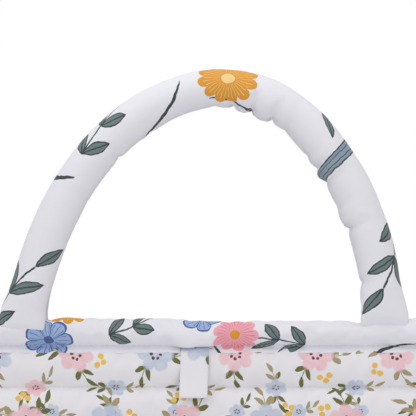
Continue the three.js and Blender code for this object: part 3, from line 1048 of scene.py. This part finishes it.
def stitch_tree(thread, material):
    """A tree that lays a stitch at every step along a line, and the values of its inputs."""
    tree = bpy.data.node_groups.new("Running stitch", "GeometryNodeTree")
    tree.is_modifier = True
    tree.interface.new_socket("Geometry", in_out="INPUT", socket_type="NodeSocketGeometry")
    tree.interface.new_socket("Geometry", in_out="OUTPUT", socket_type="NodeSocketGeometry")
    values = {}
    for name in ("Pitch", "Stitch", "Thickness"):
        socket = tree.interface.new_socket(name, in_out="INPUT", socket_type="NodeSocketFloat")
        socket.subtype = "DISTANCE"
        values[socket.identifier] = getattr(thread, name.lower())
    nodes = Nodes(tree)
    given = nodes.node("NodeGroupInput").outputs
    line = nodes.node("GeometryNodeMeshToCurve", given["Geometry"])
    spaced = nodes.node("GeometryNodeResampleCurve", line.outputs[0], mode="LENGTH")
    nodes.feed(spaced.inputs["Length"], given["Pitch"])
    bead = nodes.node("GeometryNodeMeshUVSphere", *BEAD)
    aim = nodes.node("FunctionNodeAlignRotationToVector", axis="Z")
    nodes.feed(aim.inputs["Vector"], nodes.node("GeometryNodeInputTangent").outputs[0])
    least = (-STITCH_TILT, -STITCH_TILT, 0)
    most = (STITCH_TILT, STITCH_TILT, 0)
    luck = nodes.node("FunctionNodeRandomValue", least, most, data_type="FLOAT_VECTOR")
    luck.inputs["Seed"].default_value = STITCH_SEED
    tilt = nodes.node("FunctionNodeEulerToRotation", luck.outputs[0]).outputs[0]
    turned = nodes.node("FunctionNodeRotateRotation", aim.outputs[0], tilt, rotation_space="LOCAL")
    shape = nodes.node("ShaderNodeCombineXYZ", given["Thickness"], given["Thickness"], given["Stitch"])
    laid = nodes.node("GeometryNodeInstanceOnPoints", spaced.outputs[0])
    placing = {"Instance": bead.outputs["Mesh"], "Rotation": turned.outputs[0], "Scale": shape.outputs[0]}
    nodes.fill(laid, placing)
    real = nodes.node("GeometryNodeRealizeInstances", laid.outputs[0])
    dyed = nodes.node("GeometryNodeSetMaterial", real.outputs[0])
    dyed.inputs["Material"].default_value = material
    nodes.node("NodeGroupOutput", dyed.outputs[0])
    return tree, values


def seam_ring(body, offset, height, dip):
    """A closed line round the basket at one height, drawn in at the corners like the walls."""
    parts = []
    for side in range(4):
        stations = side_stations(body, side)
        drawn = seam_dip(stations, dip, CORNER_REACH)[:, None]
        parts.append(swept(body, stations, np.array([offset]) - drawn, np.array([height]))[:-1, 0])
    return np.concatenate(parts)


def make_stitches(settings):
    body, rim, thread = settings.body, settings.rim, settings.thread
    proud = STITCH_PROUD * thread.thickness
    offset, height, _ = rim_rows(body, rim)
    groove = np.argmin(offset[: len(offset) // 2])
    rings = [seam_ring(body, offset[groove] + proud, height[groove], 0)]
    rings.append(seam_ring(body, offset[-1] - proud / 2, height[-2], 0))
    for seam in range(body.rolls):
        level = body.bottom + seam * roll_height(body)
        rings.append(seam_ring(body, proud - body.bulge, level, CORNER_DIP))
    count = len(rings[0])
    first = np.arange(len(rings))[:, None] * count + np.arange(count)
    edges = np.stack([first, np.roll(first, -1, axis=1)], -1).reshape(-1, 2)
    mesh = bpy.data.meshes.new("seam_lines")
    mesh.from_pydata(np.concatenate(rings).tolist(), edges.tolist(), [])
    lines = link("seam_lines", mesh)
    tree, values = stitch_tree(thread, sewing_thread(settings.tints))
    sewn = lines.modifiers.new("Stitches", "NODES")
    sewn.node_group = tree
    for identifier, value in values.items():
        sewn[identifier] = value
    depsgraph = bpy.context.evaluated_depsgraph_get()
    stitches = bpy.data.meshes.new_from_object(lines.evaluated_get(depsgraph))
    bpy.data.objects.remove(lines)
    stitches.shade_smooth()
    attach(link("stitches", stitches), "basket")


# Materials


class Dye(Nodes):
    """A new material's nodes, with the sums that a print needs."""

    def __init__(self, name):
        self.material = bpy.data.materials.new(name)
        self.material.use_nodes = True
        super().__init__(self.material.node_tree)
        self.tree.nodes.clear()

    def math(self, operation, *values, clamp=False):
        return self.node("ShaderNodeMath", *values, operation=operation, use_clamp=clamp).outputs[0]

    def vector(self, operation, *values):
        return self.node("ShaderNodeVectorMath", *values, operation=operation).outputs[0]

    def length(self, spot):
        return self.node("ShaderNodeVectorMath", spot, operation="LENGTH").outputs["Value"]

    def distance(self, spot, point):
        return self.node("ShaderNodeVectorMath", spot, point, operation="DISTANCE").outputs["Value"]

    def split(self, spot):
        return self.node("ShaderNodeSeparateXYZ", spot).outputs[:2]

    def join(self, x, y):
        return self.node("ShaderNodeCombineXYZ", x, y).outputs[0]

    def noise(self, place, scale, detail, roughness=0.5):
        return self.node("ShaderNodeTexNoise", place, None, scale, detail, roughness).outputs

    def times(self, one, other):
        return self.math("MULTIPLY", one, other)

    def size_of(self, value):
        return self.math("ABSOLUTE", value)

    def less(self, value, limit):
        return self.math("LESS_THAN", value, limit)

    def more(self, value, limit):
        return self.math("GREATER_THAN", value, limit)

    def near(self, value, middle, reach):
        return self.less(self.size_of(self.math("SUBTRACT", value, middle)), reach)

    def polar(self, spot):
        """A spot's angle about the middle, and its distance from it."""
        x, y = self.split(spot)
        return self.math("ARCTAN2", y, x), self.length(spot)

    def by_spoke(self, angle, reach, count):
        """How far out along the nearest of a ring of spokes a spot lies, and how far beside it."""
        half = math.pi / count
        off = self.math("WRAP", angle, half, -half)
        return self.times(reach, self.math("COSINE", off)), self.times(reach, self.math("SINE", off))

    def paint(self, share, under, over):
        mix = self.node("ShaderNodeMix", data_type="RGBA")
        self.feed(mix.inputs[0], share)
        for socket, colour in ((mix.inputs[6], under), (mix.inputs[7], over)):
            self.feed(socket, colour if isinstance(colour, bpy.types.NodeSocket) else (*colour, 1))
        return mix.outputs[2]

    def plain(self, colour):
        """Cloth of one colour, to print on."""
        cloth = self.node("ShaderNodeRGB").outputs[0]
        cloth.default_value = (*colour, 1)
        return cloth

    def surfaced(self, inputs):
        """The finished material, with what its surface shader is given."""
        shader = self.fill(self.node("ShaderNodeBsdfPrincipled"), inputs)
        self.node("ShaderNodeOutputMaterial", shader.outputs[0])
        return self.material


# The cotton's weave and crumple, and the wobble of its print, over millimetres of cloth
WEAVE_PITCH = 0.55
CRUMPLE_SCALE = 0.16
CRUMPLE_SHARE = 6.0
WOBBLE_SCALE = 0.22
WOBBLE = 1.6


def cotton_shader(dye, colour, place):
    """Plain woven cotton with a printed colour: matt, a little sheen, and a fine weave."""
    x, y = dye.split(place)
    pitch = 2 * math.pi / WEAVE_PITCH
    warp = dye.math("SINE", dye.times(x, pitch))
    weft = dye.math("SINE", dye.times(y, pitch))
    crumple = dye.noise(place, CRUMPLE_SCALE, 3.0, 0.55)[0]
    height = dye.math("MULTIPLY_ADD", crumple, CRUMPLE_SHARE, dye.times(warp, weft))
    bump = dye.node("ShaderNodeBump")
    dye.fill(bump, {"Strength": 0.35, "Distance": 0.06 * MM, "Height": height})
    looks = {
        "Base Color": colour,
        "Normal": bump.outputs[0],
        "Roughness": 0.88,
        "Specular IOR Level": 0.25,
        "Sheen Weight": 0.12,
        "Sheen Roughness": 0.5,
    }
    return dye.surfaced(looks)


def printed_place(dye):
    """The print's own place on the cloth in millimetres, and the same with a hand-drawn wobble."""
    raw = dye.node("ShaderNodeUVMap", uv_map=PRINT_MAP).outputs[0]
    place = dye.vector("MULTIPLY", raw, (1 / MM, 1 / MM, 0))
    shake = dye.vector("SUBTRACT", dye.noise(place, WOBBLE_SCALE, 2.0)[1], (0.5, 0.5, 0.5))
    return place, dye.vector("MULTIPLY_ADD", shake, (WOBBLE, WOBBLE, 0), place)


LEAF_TURN = math.radians(40)
# Shares of a leaf's half width: its dark edge, its rib and the stem that it grows on
LEAF_EDGE = 0.22
LEAF_RIB = 0.12
LEAF_STEM = 0.16
FAR_OUTSIDE = 99
# Shares of a flower's radius: its heart, its streaks' middle and reach, and its outline's
HEART = 0.22
STREAKS = (0.55, 0.28)
OUTLINE = (0.955, 0.045)
# How fine a flower's streaks and the partings of its petals are, and how steeply a wash ends
STREAK_WIDTH = 0.22
PARTING = 0.16
WASH_EDGE = 8
# A reed's wave in half lengths, and the middle and reach of its edge and its ribs in half widths
REED_TURNS = 2.4
REED_WAVE = 0.16
REED_EDGE = (0.9, 0.1)
REED_RIB = (0.36, 0.06)


def lens(dye, along, aside, length, half_width):
    """How far inside a pointed leaf a spot is; below 0 it is outside."""
    part = dye.math("MULTIPLY_ADD", along, 2 / length, -1)
    edge = dye.math("MULTIPLY_ADD", dye.times(part, part), -half_width, half_width)
    return dye.math("SUBTRACT", edge, aside)


def sprig(dye, under, x, y, length, pitch, leaf, half_width, bend, colour, line=None, vein=None):
    """A stem along x with pairs of pointed leaves and one at its tip."""
    aside = dye.size_of(dye.math("MULTIPLY_ADD", dye.times(x, x), -bend, y))
    within = dye.near(x, length / 2, length / 2)
    step = dye.math("WRAP", x, pitch, 0.0)
    cosine, sine = math.cos(LEAF_TURN), math.sin(LEAF_TURN)
    along = dye.math("MULTIPLY_ADD", aside, sine, dye.times(step, cosine))
    off = dye.size_of(dye.math("MULTIPLY_ADD", aside, cosine, dye.times(step, -sine)))
    pairs = lens(dye, along, off, leaf, half_width)
    pairs = dye.math("MULTIPLY_ADD", dye.math("SUBTRACT", within, 1), FAR_OUTSIDE, pairs)
    tip = lens(dye, dye.math("SUBTRACT", x, length), aside, leaf, half_width)
    depth = dye.math("MAXIMUM", pairs, tip)
    stem = dye.times(dye.less(aside, half_width * LEAF_STEM), within)
    mark = dye.math("MAXIMUM", dye.more(depth, 0), stem)
    cloth = dye.paint(mark, under, colour)
    if line:
        rim = dye.times(dye.less(depth, half_width * LEAF_EDGE), mark)
        cloth = dye.paint(rim, cloth, line)
    if vein:
        rib = dye.less(dye.math("MINIMUM", off, aside), half_width * LEAF_RIB)
        cloth = dye.paint(dye.times(rib, dye.more(depth, half_width * LEAF_EDGE)), cloth, vein)
    return cloth


def bloom(dye, under, spot, petals, fill, streak=None, line=None, heart=None, *, notch, wash=None):
    """An open flower of radius 1 with round petals, solid or in a thin wash of colour."""
    angle, reach = dye.polar(spot)
    wave = dye.size_of(dye.math("COSINE", dye.times(angle, petals / 2)))
    edge = dye.math("MULTIPLY_ADD", dye.math("SQRT", wave), 1 - notch, notch)
    part = dye.math("DIVIDE", reach, edge)
    inside = dye.less(part, 1.0)
    cover = inside
    if wash:
        cover = dye.times(dye.math("MULTIPLY_ADD", part, -WASH_EDGE, WASH_EDGE, clamp=True), wash)
    cloth = dye.paint(cover, under, fill)
    if streak:
        comb = dye.size_of(dye.math("SINE", dye.times(angle, petals * 1.5)))
        fine = dye.less(comb, STREAK_WIDTH)
        cloth = dye.paint(dye.times(fine, dye.near(part, *STREAKS)), cloth, streak)
    if line:
        cloth = dye.paint(dye.near(part, *OUTLINE), cloth, line)
        cloth = dye.paint(dye.times(dye.less(wave, PARTING), inside), cloth, line)
    if heart:
        cloth = dye.paint(dye.less(reach, HEART), cloth, heart)
    return cloth


def reed(dye, under, spot, half_length, half_width, fill, line):
    """A long curved blade with dark edges and lines along it."""
    x, y = dye.split(spot)
    turn = dye.math("SINE", dye.times(x, REED_TURNS / half_length))
    aside = dye.size_of(dye.math("SUBTRACT", y, dye.times(turn, half_length * REED_WAVE)))
    part = dye.math("DIVIDE", x, half_length)
    width = dye.math("SQRT", dye.math("SUBTRACT", 1, dye.times(part, part), clamp=True))
    share_out = dye.math("DIVIDE", aside, dye.math("MULTIPLY_ADD", width, half_width, 1e-6))
    cloth = dye.paint(dye.less(share_out, 1), under, fill)
    for band in (REED_EDGE, REED_RIB):
        cloth = dye.paint(dye.near(share_out, *band), cloth, line)
    return cloth


# How far each row of cells slides past the one below, in widths of a cell
ROW_SLIDE = 0.382


def scattered(dye, place, cell, shift, seed):
    """A spot turned at random about the middle of its own cell, with that cell's luck."""
    moved = dye.vector("ADD", place, (*shift, 0))
    _, up = dye.split(moved)
    row = dye.math("FLOOR", dye.math("DIVIDE", up, cell[1]))
    slide = dye.times(dye.math("FRACT", dye.times(row, ROW_SLIDE)), cell[0])
    moved = dye.vector("ADD", moved, dye.join(slide, 0.0))
    number = dye.vector("FLOOR", dye.vector("DIVIDE", moved, (*cell, 1)))
    seeded = dye.vector("ADD", number, (0, 0, seed))
    luck = dye.node("ShaderNodeTexWhiteNoise", seeded, noise_dimensions="3D")
    local = dye.vector("SUBTRACT", moved, dye.vector("MULTIPLY", number, (*cell, 0)))
    local = dye.vector("SUBTRACT", local, (cell[0] / 2, cell[1] / 2, 0))
    spun = dye.node("ShaderNodeVectorRotate", local, rotation_type="Z_AXIS")
    dye.feed(spun.inputs["Angle"], dye.times(luck.outputs["Value"], 2 * math.pi))
    colours = dye.node("ShaderNodeSeparateColor", luck.outputs["Color"]).outputs
    return spun.outputs[0], colours


Posy = namedtuple("Posy", "cell shift seed radius spokes leaf buds")
POSIES = (
    Posy((37, 52), (11, 30), 21, 5.2, 2, 6.0, False),
    Posy((48, 44), (24, 22), 8, 7.2, 2, 7.0, False),
    Posy((48, 44), (0, 0), 3, 11.5, 3, 8.8, True),
)
# Where a posy's sprigs start in radii of its blossom, and their pitch and half width in lengths of a leaf
SPRIG_START = 0.8
SPRIG_PITCH = 0.72
SPRIG_WIDTH = 0.18
SPRIG_BEND = 0.03
SMALL_PETALS = 6
SMALL_NOTCH = 0.66
# The ring of dots in a blossom's heart: how far out they lie and how big they are, in radii of the blossom
DOT_RING = 0.24
DOT_RADIUS = 0.085
BUD_PLACES = ((-14, 3.6), (-17.2, 1.2), (-15, -2))
BUD_RADIUS = 1.8
# How the thin wash of the petals comes and goes over the cloth
WASH_SCALE = 0.2
WASH_CONTRAST = 1.1
WASH_LEAST = 0.28


def small_print_cotton(tints):
    """Cotton with small scattered blossoms and sprigs."""
    name = "sprigged_cotton"
    if name in bpy.data.materials:
        return bpy.data.materials[name]
    dye = Dye(name)
    place, drawn = printed_place(dye)
    cloth = dye.plain(tints.chalk)
    cloud = dye.noise(place, WASH_SCALE, 3.0, 0.6)[0]
    wash = dye.math("MULTIPLY_ADD", cloud, WASH_CONTRAST, WASH_LEAST, clamp=True)
    for posy in POSIES:
        spot, luck = scattered(dye, drawn, posy.cell, posy.shift, posy.seed)
        angle, reach = dye.polar(spot)
        out, off = dye.by_spoke(angle, reach, posy.spokes)
        out = dye.math("SUBTRACT", out, SPRIG_START * posy.radius)
        dark = dye.more(dye.math("SINE", dye.math("ADD", angle, luck[0])), 0)
        leaf_tint = dye.paint(dark, tints.khaki, tints.olive)
        pitch = posy.leaf * SPRIG_PITCH
        width = posy.leaf * SPRIG_WIDTH
        cloth = sprig(dye, cloth, out, off, pitch, pitch, posy.leaf, width, SPRIG_BEND, leaf_tint)
        petal_tint = dye.paint(dye.more(luck[1], 0.5), tints.blush, tints.mist)
        shrunk = dye.vector("DIVIDE", spot, (posy.radius, posy.radius, 1))
        cloth = bloom(dye, cloth, shrunk, SMALL_PETALS, petal_tint, notch=SMALL_NOTCH, wash=wash)
        cloth = heart_dots(dye, cloth, shrunk, tints.plum)
        if posy.buds:
            cloth = buds(dye, cloth, spot, tints.honey)
    return cotton_shader(dye, cloth, place)


def heart_dots(dye, under, spot, colour):
    """A ring of dots round the middle of a blossom of radius 1."""
    out, off = dye.by_spoke(*dye.polar(spot), SMALL_PETALS)
    dot = dye.less(dye.distance(dye.join(out, off), (DOT_RING, 0, 0)), DOT_RADIUS)
    return dye.paint(dot, under, colour)


def buds(dye, under, spot, colour):
    """A few round buds beside a blossom."""
    for x, y in BUD_PLACES:
        bud = dye.less(dye.distance(spot, (x, y, 0)), BUD_RADIUS)
        under = dye.paint(bud, under, colour)
    return under


# Millimetres after which the large print repeats, along and up
LARGE_TILE = (330, 124)


def placed(dye, place, middle, turn, scale=1.0):
    """A spot's place in a motif that repeats with the tile, turned and sized about its middle."""
    half_x, half_y = LARGE_TILE[0] / 2, LARGE_TILE[1] / 2
    x, y = middle
    high = (x + half_x, y + half_y, 1)
    low = (x - half_x, y - half_y, -1)
    wrapped = dye.vector("WRAP", place, high, low)
    mapping = dye.node("ShaderNodeMapping", wrapped, vector_type="TEXTURE")
    mapping.inputs["Location"].default_value = (x, y, 0)
    mapping.inputs["Rotation"].default_value = (0, 0, math.radians(turn))
    mapping.inputs["Scale"].default_value = (scale, scale, 1)
    return mapping.outputs[0]


# Middle, turn, half length and half width
REEDS = (((306, 58), 62, 62, 4.6), ((20, 12), 24, 48, 3.6), ((196, 26), -36, 52, 4.2))
STEMS = (((250, 92), 15, 36, 1.4), ((112, 38), 72, 34, 2.0), ((180, 84), -50, 30, 1.2))
# Middle, turn, pitch of the leaves, length of a leaf and bend of the stem
SPRAYS = (
    ((24, 50), 22, 21, 21, 0.004),
    ((132, 66), -8, 19, 19, -0.005),
    ((96, 112), 12, 15, 16, 0.01),
    ((214, 104), 158, 16, 17, 0.006),
    ((262, 22), 70, 18, 18, -0.006),
)
SPRAY_WIDTH = 0.2
# Kind, middle, turn and radius
BLOOMS = (
    ("warm", (228, 66), 10, 17),
    ("warm", (72, 10), 40, 15),
    ("blue", (60, 108), 0, 15),
    ("blue", (152, 8), 20, 14),
    ("pink", (172, 112), 0, 14),
    ("pink", (300, 112), 30, 13),
)
LARGE_NOTCH = 0.72


def large_print_cotton(tints):
    """Cotton with large sparse flowers, leaves and reeds."""
    name = "flowered_cotton"
    if name in bpy.data.materials:
        return bpy.data.materials[name]
    dye = Dye(name)
    place, drawn = printed_place(dye)
    cloth = dye.plain(tints.ground)
    dark = tints.charcoal
    for blades, fill in ((REEDS, tints.slate), (STEMS, dark)):
        for middle, turn, half_length, half_width in blades:
            spot = placed(dye, drawn, middle, turn)
            cloth = reed(dye, cloth, spot, half_length, half_width, fill, dark)
    for middle, turn, pitch, leaf, bend in SPRAYS:
        x, y = dye.split(placed(dye, drawn, middle, turn))
        width = leaf * SPRAY_WIDTH
        cloth = sprig(dye, cloth, x, y, 2 * pitch, pitch, leaf, width, bend, tints.fern, dark, dark)
    # Petals, fill, streaks, outline and heart of each kind
    kinds = {
        "warm": (11, tints.amber, tints.straw, None, tints.straw),
        "blue": (7, tints.cornflower, tints.ink, tints.ink, tints.ink),
        "pink": (9, tints.rose, tints.berry, None, tints.amber),
    }
    for kind, middle, turn, radius in BLOOMS:
        spot = placed(dye, drawn, middle, turn, radius)
        cloth = bloom(dye, cloth, spot, *kinds[kind], notch=LARGE_NOTCH)
    return cotton_shader(dye, cloth, place)


def flecked(name, colour, scale, detail, shade, roughness):
    """A matt material of one colour with flecks of a darker shade of it."""
    dye = Dye(name)
    place = dye.node("ShaderNodeTexCoord").outputs["Object"]
    fleck = dye.noise(place, scale, detail)[0]
    mixed = dye.paint(fleck, colour, tuple(shade * part for part in colour))
    return dye.surfaced({"Base Color": mixed, "Roughness": roughness})


def sewing_thread(tints):
    """Twisted cotton thread."""
    return flecked("sewing_thread", tints.thread, scale=1500.0, detail=2.0, shade=0.8, roughness=0.7)


def grey_board(tints):
    """Pressed board with a faint fleck."""
    return flecked("grey_board", tints.board, scale=900.0, detail=4.0, shade=0.6, roughness=0.8)


def looked_at(nodes):
    """1 for the rays that show a background, and 0 for those that light the basket."""
    path = nodes.node("ShaderNodeLightPath").outputs
    seen = path["Is Camera Ray"]
    for kind in ("Is Glossy Ray", "Is Transmission Ray"):
        seen = nodes.node("ShaderNodeMath", seen, path[kind], operation="MAXIMUM").outputs[0]
    return seen


# Where the floor starts to fade, and where it is white
FLOOR_FADE = (0.4, 1.5)


def plain_floor(tints):
    """A matt studio floor that fades to white away from the basket."""
    dye = Dye("studio_floor")
    place = dye.node("ShaderNodeTexCoord").outputs["Object"]
    away = dye.length(place)
    faded = dye.node("ShaderNodeMapRange", away, *FLOOR_FADE, interpolation_type="SMOOTHSTEP")
    share_white = dye.times(faded.outputs[0], looked_at(dye))
    matt = dye.node("ShaderNodeBsdfDiffuse", (*tints.floor, 1))
    white = dye.node("ShaderNodeEmission", (1, 1, 1, 1), 1.0)
    mixed = dye.node("ShaderNodeMixShader", share_white, matt.outputs[0], white.outputs[0])
    dye.node("ShaderNodeOutputMaterial", mixed.outputs[0])
    return dye.material


# Stage

FLOOR_SIZE = 8.0
FLOOR_DEPTH = 0.2 * MM
# Places and widths of the two soft boxes, and the point that they look at
KEY_PLACE = (-0.25, -0.45, 1.6)
KEY_WIDTH = 1.3
FILL_PLACE = (0.7, -1.7, 0.8)
FILL_WIDTH = 1.2
LIGHT_AIM = (0, 0, 0.25)


def white_world(sky):
    """A world that is white to look at, and lights the basket at its own strength."""
    world = bpy.data.worlds.new("studio")
    bpy.context.scene.world = world
    world.use_nodes = True
    world.node_tree.nodes.clear()
    nodes = Nodes(world.node_tree)
    strength = nodes.node("ShaderNodeMix", looked_at(nodes), None, sky, 1.0)
    light = nodes.node("ShaderNodeBackground", (1, 1, 1, 1), strength.outputs[0])
    nodes.node("ShaderNodeOutputWorld", light.outputs[0])


def towards(start, end):
    """The turn that makes a lamp or a camera at one point look at another."""
    return (Vector(end) - Vector(start)).to_track_quat("-Z", "Y").to_euler()


def soft_box(name, place, width, power):
    """A square soft light that looks at the basket and isn't seen itself."""
    data = bpy.data.lights.new(name, "AREA")
    data.shape = "SQUARE"
    data.size = width
    data.energy = power
    lamp = link(name, data)
    lamp.location = place
    lamp.rotation_euler = towards(place, LIGHT_AIM)
    lamp.visible_camera = False


def make_stage(settings):
    stage, body, rim = settings.stage, settings.body, settings.rim
    scene = bpy.context.scene
    scene.view_settings.view_transform = "Standard"
    white_world(stage.sky)
    soft_box("key_light", KEY_PLACE, KEY_WIDTH, stage.key)
    soft_box("fill_light", FILL_PLACE, FILL_WIDTH, stage.fill)

    mesh = bpy.data.meshes.new("floor")
    half = FLOOR_SIZE / 2
    corners = [(x * half, y * half, -FLOOR_DEPTH) for x, y in ((-1, -1), (1, -1), (1, 1), (-1, 1))]
    mesh.from_pydata(corners, [], [(0, 1, 2, 3)])
    mesh.materials.append(plain_floor(settings.tints))
    link("floor", mesh)

    handle_plane = middle_of("front_handle_cover").y
    eye = (stage.aim_x, handle_plane - stage.distance, rim_top(body, rim))
    aim = (stage.aim_x, handle_plane, stage.aim_z)
    data = bpy.data.cameras.new("camera")
    data.sensor_width = 36
    data.lens = data.sensor_width * stage.distance / stage.field
    data.clip_start = 1
    data.clip_end = 40
    camera = link("camera", data)
    camera.location = eye
    camera.rotation_euler = towards(eye, aim)
    scene.camera = camera


# Operators and panel


class BASKET_OT_stage(bpy.types.Operator):
    """Set up the floor, the soft light and the camera"""

    bl_idname = "basket.stage"
    bl_label = "Stage"

    def execute(self, context):
        make_stage(context.scene.basket)
        return {"FINISHED"}


class BASKET_OT_walls(bpy.types.Operator):
    """Quilt the four walls"""

    bl_idname = "basket.walls"
    bl_label = "Walls"

    def execute(self, context):
        make_walls(context.scene.basket)
        return {"FINISHED"}


class BASKET_OT_rim(bpy.types.Operator):
    """Stuff the roll that runs round the top"""

    bl_idname = "basket.rim"
    bl_label = "Rim"

    def execute(self, context):
        make_rim(context.scene.basket)
        return {"FINISHED"}


class BASKET_OT_handles(bpy.types.Operator):
    """Stuff and gather the two handles"""

    bl_idname = "basket.handles"
    bl_label = "Handles"

    def execute(self, context):
        make_handles(context.scene.basket)
        return {"FINISHED"}


class BASKET_OT_lining(bpy.types.Operator):
    """Hang the lining inside the walls"""

    bl_idname = "basket.lining"
    bl_label = "Lining"

    def execute(self, context):
        make_lining(context.scene.basket)
        return {"FINISHED"}


class BASKET_OT_base(bpy.types.Operator):
    """Lay the base pad, the board and the cloth under it"""

    bl_idname = "basket.base"
    bl_label = "Base"

    def execute(self, context):
        make_base(context.scene.basket)
        return {"FINISHED"}


class BASKET_OT_tab(bpy.types.Operator):
    """Fold the tab under the front rim"""

    bl_idname = "basket.tab"
    bl_label = "Tab"

    def execute(self, context):
        make_tab(context.scene.basket)
        return {"FINISHED"}


class BASKET_OT_stitches(bpy.types.Operator):
    """Sew the quilting seams, the rim and the hem"""

    bl_idname = "basket.stitches"
    bl_label = "Stitches"

    def execute(self, context):
        make_stitches(context.scene.basket)
        return {"FINISHED"}


OPERATORS = (
    BASKET_OT_stage,
    BASKET_OT_walls,
    BASKET_OT_rim,
    BASKET_OT_handles,
    BASKET_OT_lining,
    BASKET_OT_base,
    BASKET_OT_tab,
    BASKET_OT_stitches,
)


class BASKET_PT_panel(bpy.types.Panel):
    """Lists the steps that sew the basket"""

    bl_label = "Basket"
    bl_idname = "BASKET_PT_panel"
    bl_space_type = "VIEW_3D"
    bl_region_type = "UI"
    bl_category = "Basket"

    def draw(self, context):
        for operator in OPERATORS:
            self.layout.operator(operator.bl_idname)


GROUPS = (
    BasketBody,
    BasketRim,
    BasketHandle,
    BasketTab,
    BasketThread,
    BasketTints,
    BasketStage,
    BasketSettings,
)
CLASSES = (*GROUPS, *OPERATORS, BASKET_PT_panel)


def register():
    for made in CLASSES:
        bpy.utils.register_class(made)
    bpy.types.Scene.basket = PointerProperty(type=BasketSettings)


def unregister():
    del bpy.types.Scene.basket
    for made in reversed(CLASSES):
        bpy.utils.unregister_class(made)


def main():
    register()
    for operator in OPERATORS:
        group, name = operator.bl_idname.split(".")
        getattr(getattr(bpy.ops, group), name)()


if __name__ == "__main__":
    main()
